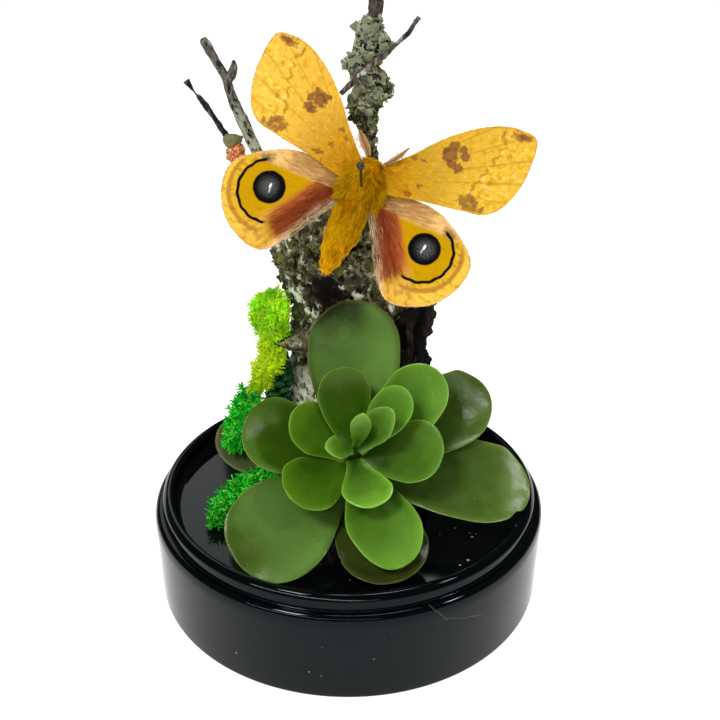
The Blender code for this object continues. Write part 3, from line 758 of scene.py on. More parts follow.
dark_bark = bark_look(
    "dark twig bark",
    (rgb(10, 9, 9), rgb(38, 34, 32), rgb(88, 82, 78), rgb(132, 126, 118)),
    pale_share=-0.02,
    fleck=0.8,
    fleck_share=0.4,
)
greyish_bark = bark_look(
    "cross twig bark",
    (rgb(24, 19, 16), rgb(76, 66, 58), rgb(126, 118, 110), rgb(196, 194, 188)),
    pale_share=0.06,
    fleck=0.8,
    fleck_share=0.4,
)
crusted_bark = bark_look(
    "grey twig bark",
    (rgb(34, 30, 26), rgb(80, 76, 68), rgb(128, 126, 116), rgb(170, 178, 158)),
    pale_share=0.0,
    fleck=1.2,
    fleck_share=0.95,
    crust=(114.0, 128.0),
)
add_form("cross_twig_wood", twig_form(CROSS_TWIG), greyish_bark, "dark_twig", "cross_twig")
add_form("left_branch_wood", twig_form(LEFT_BRANCH), crusted_bark, "grey_bark", "left_branch")
add_form("left_stub", twig_form(LEFT_STUB), crusted_bark, "grey_bark")
add_form("thin_twig_wood", twig_form(THIN_TWIG), dark_bark, "dark_twig", "thin_twig")


# Bark slab: a dark strip of thick bark that stands on the floor at the right, behind the leaves. It has
# cracked deeply into upright splinters.
BARK_SLAB = [
    (16.6, 9.0, FOOT, 5.6, 3.0),
    (16.6, 9.0, 38.0, 5.4, 3.0),
    (16.2, 8.6, 54.0, 5.4, 2.6),
    (16.0, 8.0, 61.0, 5.4, 2.6),
    (15.2, 7.6, 65.6, 4.8, 2.4),
    (17.3, 7.0, 70.0, 4.7, 2.2),
    (18.3, 6.6, 74.6, 3.3, 1.6),
]
SLAB_CRACK_DEPTH = 1.3


def splintered(point, out):
    """Upright splinters with flat faces and sharp steps between them."""
    shift = 0.9 * noise.noise(point / 3.0)
    across = (point.x + shift) / 2.3
    deep = (point.y + shift) / 2.3
    block = noise.cell(Vector((across, deep, point.z / 6.5 + noise.cell(Vector((across, deep, 4.0))))))
    chip = noise.cell(Vector(((point.x - shift) / 1.1, point.y / 1.1, point.z / 2.4)))
    grain = noise.noise(Vector((point.x / 0.5, point.y / 0.5, point.z / 3.0)))
    rise = SLAB_CRACK_DEPTH * (block - 0.75) + 0.35 * chip + 0.25 * grain
    return rise, 0.25 + 0.5 * block + 0.2 * chip + 0.5 * grain


slab_bark = bark_look(
    "dark bark",
    (rgb(4, 3, 2), rgb(18, 13, 8), rgb(52, 38, 24), rgb(84, 64, 42)),
    pale_share=-0.06,
    fleck_share=0.5,
)
slab_form = spine_form(BARK_SLAB, 72, 120, relief=splintered, fade=0.02)
add_form("bark_slab_wood", slab_form, slab_bark, "dark_bark", "bark_slab", sharp=35.0)


# Bud: a dried bud that hangs in front of the thin twig. A smooth olive cap sits over a tuft of crumbly
# coral-orange scales.
BUD_CAP = [
    (-26.3, 6.2, 115.6, 1.0, 0.7),
    (-26.3, 6.0, 115.1, 2.2, 1.3),
    (-26.1, 5.8, 114.1, 2.3, 1.4),
    (-25.7, 5.6, 113.3, 1.7, 1.2),
]
BUD_TUFT = [
    (-25.7, 5.5, 113.2, 1.5, 1.2),
    (-25.4, 5.4, 112.2, 2.1, 1.5),
    (-26.2, 5.6, 110.9, 2.2, 1.5),
    (-26.9, 5.6, 109.9, 1.4, 1.0),
]
CORAL = (rgb(250, 150, 80), rgb(238, 124, 60), rgb(255, 190, 130), rgb(210, 196, 150))

cap_skin = Look("olive bud cap", roughness=0.55)
where = cap_skin.place()
shade = cap_skin.noise(where, 1.6)
cap_skin.set(
    base_color=cap_skin.layers(
        rgb(108, 108, 62),
        (rgb(70, 70, 36), shade.between(0.50, 0.75)),
        (rgb(140, 138, 92), shade.between(0.42, 0.25)),
    )
)
cap_skin.bump(cap_skin.noise(where, 0.5), depth=0.08)
cap_form = spine_form(BUD_CAP, 24, 20, relief=lumps(1.4, 0.15, 3.0, bark=0.0))
add_form("bud_cap_skin", cap_form, cap_skin, "bud_olive", "bud_cap")


def everywhere(point, normal):
    """A chance of 1, for a form that is covered all over."""
    return 1.0


def core(bm, colour, pose=Matrix.Identity(4)):
    """A form as one copy in a single colour, to be joined with what grows on it."""
    return prototype(bm, lambda co: 0.0), pose, colour, colour


tuft_skin = tinted("coral bud scales", roughness=0.8)
tuft_form = spine_form(BUD_TUFT, 20, 14, relief=lumps(0.9, 0.4, 2.0, bark=0.0), share=0.82)
rng = random.Random(23)
scales = [lobe(rng, segments=7) for shape in range(5)]
tuft_scales = []
for point, normal in spots_on(tuft_form, 210, everywhere, rng):
    size = rng.uniform(0.25, 0.5)
    scale = rng.choice(scales)
    up = (normal + any_way(rng) * 0.7).normalized()
    matrix = standing(point, up, rng.random() * ANY_TURN, (size, size, size))
    rim = shaded(rng.choice(CORAL), rng.uniform(0.8, 1.1))
    tuft_scales.append((scale, matrix, shaded(CORAL[1], 0.55), rim))
tuft_core = core(tuft_form, shaded(CORAL[1], 0.6))
add_growth("bud_tuft_scales", [tuft_core, *tuft_scales], tuft_skin, "bud_coral", "bud_tuft")


# Moss: dyed, preserved moss in three clumps glued at the trunk's left. Its thin forked strands stand out
# from a dense core: lime at the top, green lower down and on the floor.
# x, y, z, half width, half depth
MOSS_UPPER = [
    (-23.6, 3.6, 51.4, 1.4, 1.8),
    (-22.4, 3.8, 54.0, 1.9, 2.2),
    (-19.8, 4.4, 59.4, 2.9, 2.0),
    (-18.7, 5.0, 64.2, 3.8, 1.8),
    (-18.2, 5.6, 68.0, 4.0, 3.0),
    (-19.8, 5.4, 70.6, 6.0, 3.8),
    (-19.0, 5.8, 73.6, 5.8, 3.8),
    (-18.0, 6.2, 76.0, 3.0, 2.8),
]
MOSS_MIDDLE = [
    (-24.6, 2.4, 50.6, 1.6, 1.6),
    (-25.2, 1.4, 48.8, 3.0, 2.4),
    (-26.6, -0.8, 45.8, 3.2, 2.6),
    (-27.6, -3.2, 42.8, 2.6, 2.0),
    (-28.4, -5.0, 40.6, 1.2, 1.2),
]
MOSS_FLOOR = [
    (-17.4, -6.4, 34.4, 1.6, 1.6),
    (-20.2, -6.6, 33.0, 2.8, 2.4),
    (-24.0, -7.0, 30.4, 3.4, 3.0),
    (-27.8, -8.6, 28.0, 3.2, 2.4),
    (-30.8, -11.8, 25.8, 2.2, 1.5),
    (-32.6, -15.8, 24.4, 1.0, 0.8),
]
LIME = (rgb(190, 248, 24), rgb(222, 255, 60), rgb(120, 240, 20), rgb(170, 246, 30))
YELLOW = (rgb(222, 250, 20), rgb(236, 255, 50), rgb(190, 240, 10), rgb(210, 248, 30))
YELLOW_BELOW = 66.0
# how strongly the moss glows, as painted light
MOSS_PAINTED_GLOW = 0.24
GREEN = (rgb(30, 206, 34), rgb(110, 236, 70), rgb(14, 160, 26), rgb(56, 220, 60))


def strand(foot, way, length, radius, wander, rings=3):
    """A blunt three-sided strand that wanders from its foot."""
    bm = bmesh.new()
    bmesh.ops.create_cone(bm, cap_ends=True, segments=3, radius1=radius, radius2=radius * 0.6, depth=length)
    uprights = [e for e in bm.edges if abs(e.verts[0].co.z - e.verts[1].co.z) > length / 2]
    bmesh.ops.subdivide_edges(bm, edges=uprights, cuts=rings - 1)
    turn = way.to_track_quat("Z", "Y").to_matrix()
    for vert in bm.verts:
        share = vert.co.z / length + 0.5
        straight = turn @ Vector((vert.co.x, vert.co.y, share * length))
        vert.co = foot + straight + wander * share * share
    return bm


def united(forms):
    """One bmesh of several."""
    whole = bmesh.new()
    for bm in forms:
        mesh = bpy.data.meshes.new("part")
        bm.to_mesh(mesh)
        bm.free()
        whole.from_mesh(mesh)
        bpy.data.meshes.remove(mesh)
    return whole


def from_foot(co):
    """0 at the foot of a shape that is 1 mm high, and 1 at its tip."""
    return min(1.0, max(0.0, co.z))


def sprig(rng, forks):
    """A forked strand of moss, 1 mm high."""
    wander = any_way(rng) * 0.35
    strands = [strand(Vector(), Vector((0, 0, 1)), 1.0, 0.09, wander)]
    for fork in range(forks):
        turn = rng.random() * ANY_TURN
        way = Vector((math.cos(turn), math.sin(turn), rng.uniform(0.4, 1.2))).normalized()
        share = rng.uniform(0.3, 0.8)
        foot = Vector((0, 0, share)) + wander * share * share
        strands.append(strand(foot, way, rng.uniform(0.25, 0.5), 0.075, any_way(rng) * 0.15, rings=2))
    return prototype(united(strands), from_foot)


def moss(stations, count, length, colours, dark, rng, lift=(0, 0, 0), across=(1, 0, 0), seed=5.0):
    """A clump: a lumpy core, and forked strands in loose tufts all over it, up to the clump's outline."""
    form = spine_form(stations, 20, 24, across=across, relief=lumps(2.4, 0.9, seed, bark=0.0), share=0.50)
    shapes = [sprig(rng, forks) for forks in (3, 4, 4, 5, 3, 4, 5, 4)]
    copies = []
    for point, normal in spots_on(form, count, everywhere, rng):
        tuft = noise.noise(point / 1.3 + Vector((0, seed, 0)))
        up = (normal + any_way(rng) * 0.7 + Vector(lift)).normalized()
        size = rng.uniform(*length) * (1.0 + 0.5 * tuft)
        patch = 0.5 + 0.8 * noise.noise(point / 3.0 + Vector((seed, 0, 0)))
        tone = min(1.1, max(0.5, 0.5 + patch * 0.6)) * rng.uniform(0.7, 1.1)
        matrix = standing(point - normal * 0.3, up, rng.random() * ANY_TURN, (size * 1.1, size * 1.1, size))
        foot = shaded(dark, rng.uniform(0.5, 1.3))
        dyes = YELLOW if colours is LIME and point.z < YELLOW_BELOW else colours
        copies.append((rng.choice(shapes), matrix, foot, shaded(rng.choice(dyes), tone)))
    return [core(form, dark), *copies]


moss_skin = tinted("dyed moss", roughness=0.75, specular_ior_level=0.1)
# painted light: the moss glows a little, to lift it out of the shade among its strands
moss_skin.set(emission_color=moss_skin.attribute("colour", "Color"), emission_strength=MOSS_PAINTED_GLOW)
rng = random.Random(37)
upper_moss = moss(MOSS_UPPER, 2300, (1.3, 2.6), LIME, rgb(96, 176, 6), rng)
add_growth("moss_upper_strands", upper_moss, moss_skin, "moss_lime", "moss_upper")
draped = {"lift": (-0.2, -0.1, 0.2), "seed": 6.0}
middle_moss = moss(MOSS_MIDDLE, 900, (1.3, 3.0), GREEN, rgb(8, 120, 20), rng, **draped)
add_growth("moss_middle_strands", middle_moss, moss_skin, "moss_green", "moss_middle")
spread = {"lift": (-0.2, -0.1, 0.3), "across": (0.4, -0.9, 0), "seed": 8.0}
floor_moss = moss(MOSS_FLOOR, 900, (1.4, 3.4), GREEN, rgb(4, 84, 10), rng, **spread)
add_growth("moss_floor_strands", floor_moss, moss_skin, "moss_green", "moss_floor")


# Bead plant: a small dark green plant that stands on the floor between the moss and the trunk, with plump
# leaves packed round its stem.
# x, y, z, half width, half depth
BEAD_PLANT = [
    (-19.2, 9.4, FOOT, 1.3, 1.3),
    (-19.2, 9.4, 34.0, 1.4, 1.4),
    (-18.8, 9.2, 42.0, 2.8, 2.6),
    (-18.4, 9.2, 48.0, 3.2, 2.8),
    (-18.4, 9.0, 55.0, 3.0, 2.4),
    (-18.4, 9.0, 60.0, 1.2, 1.2),
]
BEAD_COUNT = 84
GOLDEN_TURN = 2.4


def plump_leaf():
    """A plump leaf with a blunt tip, 1 mm long."""
    bm = bmesh.new()
    bmesh.ops.create_uvsphere(bm, u_segments=10, v_segments=7, radius=0.5)
    for vert in bm.verts:
        share = vert.co.z + 0.5
        vert.co = Vector((vert.co.x * (0.7 + 0.3 * share), vert.co.y * 0.62, share))
    return prototype(bm, from_foot)


bead_skin = tinted("plump leaf", roughness=0.4)
rng = random.Random(41)
bead_leaf = plump_leaf()
bead_copies = []
for bead in range(BEAD_COUNT):
    t = 0.02 + 0.96 * bead / BEAD_COUNT
    centre, width_way, depth_way, half_width, half_depth = spine_frame(BEAD_PLANT, t)
    turn = bead * GOLDEN_TURN
    out = width_way * math.cos(turn) + depth_way * math.sin(turn)
    size = 1.7 + 0.65 * half_width * rng.uniform(0.8, 1.15)
    up = (out + Vector((0, 0, 0.8))).normalized()
    place = centre + out * half_width * 0.45
    matrix = standing(place, up, 0.0, (size * 1.05, size * 0.9, size * 0.75))
    tone = rng.uniform(0.6, 1.3)
    bead_copies.append((bead_leaf, matrix, shaded(rgb(14, 60, 26), tone), shaded(rgb(40, 120, 58), tone)))
bead_copies.append(core(spine_form(BEAD_PLANT, 12, 30, share=0.55), rgb(12, 28, 14)))
add_growth("bead_plant_leaves", bead_copies, bead_skin, "bead_green", "bead_plant")


# Succulent: a rosette of thick waxy leaves, round at the tip and narrow at the foot, which grow from a bent
# stem on the floor. The inner leaves are bright green, and the outer ones are larger, duller and more worn.
ROSETTE_CENTRE = Vector((1.8, -18.0, 47.5))
ROSETTE_AXIS = Vector((0.10, -0.60, 0.79)).normalized()
STEM_FOOT = Vector((1.4, -2.0, FOOT))
STEM_RADIUS = 2.4
# distance behind the rosette's centre, radius
STEM_TOP = [(18.0, STEM_RADIUS), (9.0, STEM_RADIUS), (7.2, 1.5), (2.6, 1.3), (1.0, 0.7)]
LEAF_THICKNESS = 1.5
WIDEST = 0.66
NECK = 0.4
NECK_SWEEP = 1.7
TIP_ROUNDNESS = 2.3
# the innermost leaves' tips are less round
POINTED = {"leaf_08": 1.2, "leaf_11": 1.1, "leaf_18": 1.4}
# Colours at a leaf's foot, middle and tip. The darker feet are partly the leaves' own colour and partly
# painted shade where the leaves crowd together, and the tall leaf's dark tip is painted shade.
YOUNG = (rgb(52, 86, 14), rgb(78, 118, 32), rgb(100, 148, 46))
DEEP = (rgb(48, 82, 8), rgb(54, 88, 9), rgb(76, 110, 20))
DULL = (rgb(40, 62, 16), rgb(58, 82, 26), rgb(84, 110, 40))
SOFT = (rgb(70, 104, 30), rgb(82, 114, 48), rgb(58, 78, 14))
OLD = (rgb(46, 72, 8), rgb(60, 74, 26), rgb(50, 60, 16))
TALL_PAINTED_SHADE_TIP = (rgb(72, 106, 34), rgb(80, 112, 46), rgb(30, 40, 4))
# tip, width, back, cup, arch, colours, shade, side of painted light, wear
LEAVES = {
    "leaf_01": ((1.5, 3, 76.4), 22.6, 10, 0.20, -0.05, TALL_PAINTED_SHADE_TIP, 1.09, -1.0, 0.6),
    "leaf_02": ((21.8, -8, 62.6), 15.6, 6.5, 0.22, -0.06, YOUNG, 0.85, -0.6, 0.0),
    "leaf_03": ((34.2, -0.6, 54.2), 19, 10.6, 0.16, -0.05, DULL, 0.78, 0.3, 0.3),
    "leaf_04": ((44.4, -14.8, 33), 21, 16.4, 0.16, 0.09, DULL, 0.95, -0.2, 0.1),
    "leaf_05": ((22.3, -20.4, 48.8), 15.6, 4.6, 0.22, -0.06, YOUNG, 0.58, -0.5, 0.0),
    "leaf_06": ((-2, -8, 63.8), 12.9, 4.4, 0.22, -0.08, DEEP, 0.77, 0.1, 0.1),
    "leaf_07": ((13.7, -14, 61.1), 10, 2.6, 0.22, -0.08, YOUNG, 0.90, -0.3, 0.0),
    "leaf_08": ((10.2, -20.5, 59.4), 7.8, 1.4, 0.30, -0.06, YOUNG, 0.80, 0.3, 0.0),
    "leaf_09": ((-13.2, -15, 55.4), 12.4, 6.4, 0.22, -0.06, DEEP, 1.1, 0.6, 0.1),
    "leaf_10": ((-25, -10, 50), 19, 11, 0.18, -0.05, DEEP, 0.83, 0.5, 0.55),
    "leaf_11": ((-5.2, -23, 50.8), 6, 0.6, 0.25, 0.02, YOUNG, 0.80, 0.0, 0.0),
    "leaf_12": ((-13.3, -29, 41.3), 14.4, 6.8, 0.25, -0.06, DEEP, 1.01, 0.9, 0.1),
    "leaf_13": ((6, -32, 40.8), 11.8, 4.4, 0.22, -0.06, YOUNG, 1.15, 0.8, 0.0),
    "leaf_14": ((-24.6, -35, 26), 24.4, 12.8, 0.12, 0.04, SOFT, 0.99, 0.9, 0.15),
    "leaf_15": ((12.2, -38.4, 28.7), 17, 9.4, 0.15, 0.05, YOUNG, 0.90, 0.3, 0.0),
    "leaf_16": ((11.8, -39.3, 25.4), 21.4, 17.6, 0.10, 0.0, OLD, 0.85, 0.3, 0.3),
    "leaf_17": ((-33.6, 1.0, 40.6), 16.6, 18, 0.10, -0.02, OLD, 1.0, 0.0, 0.8),
    "leaf_18": ((3.6, -21.5, 59.0), 4.9, 0.2, -0.30, 0.08, YOUNG, 0.80, 0.5, 0.0),
}
# Nicks and corners of a leaf's outline: place along it, side, reach along it, depth as a share of the width
NICKS = {
    "leaf_03": [(0.90, 1, 0.05, -0.10), (0.80, -1, 0.12, -0.06)],
    "leaf_04": [(0.93, -1, 0.022, 0.16), (0.83, 1, 0.05, -0.05)],
    "leaf_15": [(0.55, 1, 0.010, -0.07), (0.87, -1, 0.16, 0.12)],
    "leaf_16": [(0.70, -1, 0.010, 0.05)],
    "leaf_12": [(0.42, -1, 0.04, 0.05)],
}
LEAF_SIDES = 48
LEAF_RINGS = 48


def spoon(u, roundness):
    """Half width of a leaf at u along it, as a share of its widest."""
    if u > WIDEST:
        beyond = (u - WIDEST) / (1.0 - WIDEST)
        return math.sqrt(max(0.0, 1.0 - beyond ** roundness))
    return NECK + (1.0 - NECK) * math.sin(math.pi / 2 * u / WIDEST) ** NECK_SWEEP


def leaf_form(name, tip, width, back, cup, arch, rng):
    """A flattened sphere bent into a cupped spoon. Each point keeps how far along and across it is."""
    stem_point = ROSETTE_CENTRE - ROSETTE_AXIS * back
    to_tip = Vector(tip) - stem_point
    outward = (to_tip - ROSETTE_AXIS * to_tip.dot(ROSETTE_AXIS)).normalized()
    stem_here = next((radius for start, radius in STEM_TOP[1:] if back > start), STEM_TOP[-1][1])
    root = stem_point + outward * (stem_here + CLEARANCE)
    length = (Vector(tip) - root).length
    along = (Vector(tip) - root).normalized()
    face = (ROSETTE_AXIS - along * ROSETTE_AXIS.dot(along)).normalized()
    across = face.cross(along)
    shift = Vector((rng.random() * 50, rng.random() * 50, 0))
    bm = bmesh.new()
    bmesh.ops.create_uvsphere(bm, u_segments=LEAF_SIDES, v_segments=LEAF_RINGS, radius=1.0)
    edge = bm.verts.layers.float.new("edge")
    grown = bm.verts.layers.float.new("grown")
    sideways = bm.verts.layers.float.new("sideways")
    for vert in bm.verts:
        u = (1.0 + vert.co.z) / 2
        ring = math.sqrt(max(1e-9, 1.0 - vert.co.z ** 2))
        side, depth = vert.co.x / ring, vert.co.y / ring
        wave = 1.0 + 0.035 * noise.noise(Vector((side * 1.5, u * 5.0, 0)) + shift)
        half = spoon(u, POINTED.get(name, TIP_ROUNDNESS)) * width / 2
        for place, hand, reach, depth_of_nick in NICKS.get(name, ()):
            on_side = min(1.0, max(0.0, side * hand))
            wave -= depth_of_nick * on_side * math.exp(-((u - place) / reach) ** 2)
        out = side * half * wave
        ripple = 0.25 * noise.noise(Vector((out / 4.0, u * length / 5.0, 3.0)) + shift) * u
        lift = depth * LEAF_THICKNESS / 2 * (1.0 - 0.5 * u ** 4) + cup * out ** 2 / (width / 2)
        lift += arch * length * 4 * u * (1.0 - u) + ripple
        vert[edge] = min((1.0 - abs(side)) * half, (1.0 - u) * length)
        vert[grown] = u
        vert[sideways] = side
        vert.co = root + along * (length * u) + across * out + face * lift
    return bm


def leaf_look(name, colours, shade, painted_lit_side, worn, seed):
    """Waxy skin: colours from foot to tip, with painted light on one side and in a broad band along the
    edges, a thin pale rim, wear and specks.
    """
    look = Look(name, specular_ior_level=0.2, subsurface_weight=0.1, subsurface_scale=0.0008)
    where = look.place(turn=(seed, seed * 2.0, seed * 3.0))
    cloud = look.noise(where, 6.0)
    fine = look.noise(where, 1.1)
    edge = look.attribute("edge")
    grown = look.attribute("grown") + (cloud - 0.5) * 0.45
    foot, middle, tip = (shaded(colour, shade) for colour in colours)
    # painted light: the leaf is made lighter towards one side, as if lit from there
    light = (look.attribute("sideways") * painted_lit_side + (cloud - 0.5) * 1.2).between(-0.1, 1.0)
    wear = (grown + edge.between(1.6, 0.0) * 0.25).between(1.30 - worn * 0.5, 1.52 - worn * 0.5)
    dark_specks = look.cells(where, 1.3).between(0.12, 0.07) * look.noise(where, 3.0).between(0.60, 0.70)
    pale_specks = look.cells(look.place(turn=(1.0, 0.5, seed)), 1.9).between(0.09, 0.05)
    scars = pale_specks * look.noise(where, 5.0).between(0.54, 0.64)
    colour = look.layers(
        foot,
        (middle, grown.between(0.22, 0.58)),
        (tip, grown.between(0.62, 0.98)),
        # painted light on one side, then a broad lighter band along the edges, which leaves the cupped
        # middle darker as painted shade
        (shaded(middle, 2.1), light * 0.55),
        (shaded(tip, 1.35), edge.between(2.0, 0.2) * 0.4),
        (shaded(middle, 0.7), fine.between(0.58, 0.8) * 0.35),
        (rgb(86, 82, 30), wear * min(0.8, worn * 2.0)),
        (look.mix(shaded(tip, 1.9), rgb(170, 176, 96), 0.25), edge.between(0.42, 0.08) * 0.6),
        (shaded(middle, 0.3), dark_specks * 0.7),
        (rgb(190, 204, 150), scars * 0.35),
    )
    look.set(base_color=colour, roughness=0.16 + 0.1 * fine + 0.4 * max(0.0, worn - 0.3))
    dimples = look.noise(where, 3.0) + look.noise(where, 0.9) * 0.8 + look.noise(where, 0.25) * 0.4
    look.bump(dimples, depth=0.05)
    return look


rng = random.Random(53)
for name, (tip, width, back, cup, arch, *finish) in LEAVES.items():
    skin = leaf_look(name + " skin", *finish, seed=rng.random() * 3.0)
    blade = leaf_form(name, tip, width, back, cup, arch, rng)
    add_form(name + "_blade", blade, skin, "leaf_green", name)

stem_skin = Look("succulent stem", roughness=0.7, specular_ior_level=0.1)
where = stem_skin.place()
stem_skin.set(base_color=stem_skin.mix(rgb(26, 50, 6), rgb(52, 80, 16), stem_skin.noise(where, 2.0)))
stem_skin.bump(stem_skin.noise(where, 0.8), depth=0.3)
stem_stations = [(*STEM_FOOT, STEM_RADIUS, STEM_RADIUS)]
stem_stations.append((STEM_FOOT.x, STEM_FOOT.y, STEM_FOOT.z + 3.5, STEM_RADIUS, STEM_RADIUS))
for back, radius in STEM_TOP:
    stem_stations.append((*(ROSETTE_CENTRE - ROSETTE_AXIS * back), radius, radius))
stem_form = spine_form(stem_stations, 24, 60, relief=lumps(1.5, 0.15, 2.0, bark=0.05))
add_form("succulent_stem_skin", stem_form, stem_skin, "leaf_green", "succulent_stem")


# Moth: a dried, spread moth. Its body is densely furred in gold and orange-brown, with short legs folded
# under it. It is modelled flat, with its head at +Y, and then put in its pose.
MOTH_PLACE = Vector((3.3, -11.0, 109.7))
MOTH_LEAN = 58.0
MOTH_YAW = -1.5
MOTH_ROLL = -20.8
BODY = [
    (0.2, 5.3, 0.5, 0.9, 0.9),
    (0.2, 4.6, 0.4, 2.3, 2.0),
    (0.2, 3.2, 0.1, 3.2, 2.9),
    (0.1, 1.4, 0.0, 4.0, 3.6),
    (0.1, -0.8, -0.2, 4.5, 3.8),
    (0.0, -2.8, -0.6, 4.2, 3.8),
    (-0.1, -4.8, -0.8, 3.7, 3.4),
    (-0.2, -8.0, -0.8, 4.0, 3.5),
    (-0.4, -12.0, -1.0, 3.8, 3.3),
    (-0.6, -15.4, -1.2, 2.9, 2.6),
    (-0.6, -18.2, -1.4, 2.0, 1.8),
    (-0.5, -20.2, -1.4, 0.8, 0.7),
]
HIPS = [(1.4, 3.0), (1.8, 0.8), (1.8, -2.2)]
NECK_AT = 3.6
WAIST_AT = -4.6
PIN_PLACE = Vector((0.3, -2.0, 0.0))
BARE_ROUND_PIN = 1.4
FUR_GOLD = (rgb(236, 186, 10), rgb(220, 166, 4), rgb(248, 208, 40))
FUR_BROWN = (rgb(192, 128, 6), rgb(206, 142, 6), rgb(164, 98, 6))
# the darker colour at the hairs' roots, and of the body under them, is painted shade among the fur
FUR_ROOT_SHADE = rgb(178, 122, 2)
HAIR_BEND = 0.22
LEG_BROWN = rgb(150, 96, 20)

moth_pose = (
    Matrix.Translation(MOTH_PLACE)
    @ Matrix.Rotation(math.radians(MOTH_YAW), 4, "Z")
    @ Matrix.Rotation(math.radians(MOTH_LEAN), 4, "X")
    @ Matrix.Rotation(math.radians(MOTH_ROLL), 4, "Z")
)


def hair():
    """A closed three-sided hair 1 mm long, which bends towards +X and is fuller than a cone."""
    bm = bmesh.new()
    bmesh.ops.create_cone(bm, cap_ends=True, segments=3, radius1=0.5, radius2=0.0, depth=1.0)
    bmesh.ops.remove_doubles(bm, verts=bm.verts, dist=0.0001)
    uprights = [e for e in bm.edges if abs(e.verts[0].co.z - e.verts[1].co.z) > 0.5]
    bmesh.ops.subdivide_edges(bm, edges=uprights, cuts=1)
    for vert in bm.verts:
        share = vert.co.z + 0.5
        fuller = (1.0 - share) ** -0.5 if share < 0.999 else 0.0
        vert.co = Vector((vert.co.x * fuller + HAIR_BEND * share * share, vert.co.y * fuller, share))
    return prototype(bm, from_foot)


def combed(point, way, over, thickness, length):
    """A matrix that lays a hair from a point along a way, bending towards the side that over gives."""
    across = way.cross(over).normalized()
    bend = across.cross(way)
    turn = Matrix((bend, across, way)).transposed().to_4x4()
    return Matrix.Translation(point) @ turn @ Matrix.Diagonal((thickness, thickness, length, 1.0))


one_hair = hair()
rng = random.Random(61)
body_form = spine_form(BODY, 40, 90, relief=lumps(2.0, 0.25, 1.0, bark=0.0), share=0.88)


def body_hair(point, normal, rng):
    """A hair combed towards the tail, in locks, short round the pin and long over the wings' roots."""
    lock = Vector((noise.noise(point / 1.1), noise.noise(point / 1.1 + Vector((7, 0, 0))), 0.0))
    thorax = point.y > WAIST_AT
    shoulder = min(1.0, max(0.0, abs(normal.x) * 1.6 - 0.5)) if thorax else 0.0
    back = Vector((math.copysign(shoulder, normal.x), -1.0, 0.25 * shoulder))
    back = back + lock * 0.9 + any_way(rng) * 0.16
    if point.y > NECK_AT:
        back = Vector((0.0, 0.2, 0.5)) + any_way(rng) * 0.5
    lie = (back - normal * back.dot(normal) * (1.0 - shoulder)).normalized()
    lift = rng.uniform(0.12, 0.28) + 0.30 * max(0.0, noise.noise(point / 1.6 + Vector((0, 5, 0))))
    length = rng.uniform(1.2, 1.9) if thorax else rng.uniform(1.1, 1.8)
    length *= 1.0 - 0.55 * max(0.0, min(1.0, (point.y - 3.0) / 2.0))
    length *= 1.0 + 0.7 * shoulder
    if (point - PIN_PLACE).xy.length < BARE_ROUND_PIN:
        length *= 0.5
    way = (lie + normal * lift).normalized()
    streak = noise.noise(Vector((point.x / 0.8, point.y / 3.6, point.z / 0.8)))
    brown = streak > (0.16 if thorax else 0.28) or rng.random() < 0.06
    tone = rng.uniform(0.8, 1.12) * (1.0 if thorax else 1.08 + 0.04 * max(0.0, -8.0 - point.y))
    tip = shaded(rng.choice(FUR_BROWN if brown else FUR_GOLD), tone)
    matrix = combed(point, way, lie - normal * 0.8, rng.uniform(0.08, 0.13), length)
    return (one_hair, moth_pose @ matrix, shaded(FUR_ROOT_SHADE, tone), tip)


body_spots = spots_on(body_form, 15500, lambda point, normal: 1.0 if point.z > -2.5 else 0.6, rng)
fur = [body_hair(point, normal, rng) for point, normal in body_spots]
# the body under the fur takes the roots' painted shade
parts_of_body = [core(body_form, FUR_ROOT_SHADE, moth_pose)]
for side in (-1, 1):
    for out, forward in HIPS:
        stations = [
            (side * out, forward, -2.4, 0.5, 0.5),
            (side * (out + 1.4), forward + 0.6, -4.6, 0.38, 0.38),
            (side * (out + 0.4), forward - 2.0, -5.8, 0.2, 0.2),
        ]
        leg = spine_form(stations, 8, 18, across=(0, 1, 0))
        parts_of_body.append(core(leg, LEG_BROWN, moth_pose))
fur_skin = tinted("moth fur", roughness=0.85, specular_ior_level=0.0)
add_growth("moth_body_fur", parts_of_body + fur, fur_skin, "moth_fur", "moth_body")


# Wings: four thin membranes, closed over with tiny scales. The forewings are gold with brown marks, and each
# hindwing has a black eye with a white slash, a black ring, a brick-red base and a pale hairy inner margin.
# Outlines are given as (out from the hinge, forward) points, for a right wing.
FOREWING = [
    (-0.6, -2.2), (-0.9, 0.8), (-0.9, 2.0), (1.6, 4.9), (4.3, 7.8), (7.8, 12.1), (12.0, 16.2), (16.4, 19.4),
    (20.4, 21.1), (23.6, 21.4), (26.6, 20.8), (27.6, 18.4), (27.9, 15.0), (27.9, 11.4), (27.1, 7.2),
    (25.5, 3.6), (22.9, 1.3), (18.8, 0.4), (14.0, -0.4), (8.0, -1.4), (3.8, -2.5), (1.6, -2.7),
]
HINDWING = [
    (-0.2, 0.4), (1.6, 1.9), (4.6, 2.8), (8.5, 3.3), (13.5, 2.8), (18.0, 0.8), (21.8, -1.8), (24.1, -4.2),
    (24.9, -6.9), (24.3, -10.6), (22.3, -14.4), (19.8, -16.9), (16.5, -18.6), (13.3, -19.5),
    (10.6, -19.1), (8.3, -16.9), (6.7, -13.1), (5.8, -9.5), (4.5, -5.8), (2.4, -3.1), (0.4, -1.3),
]
HINGE_OUT = 3.2
MEMBRANE = 0.16
WING_GRID = 0.9
VEINS = 13
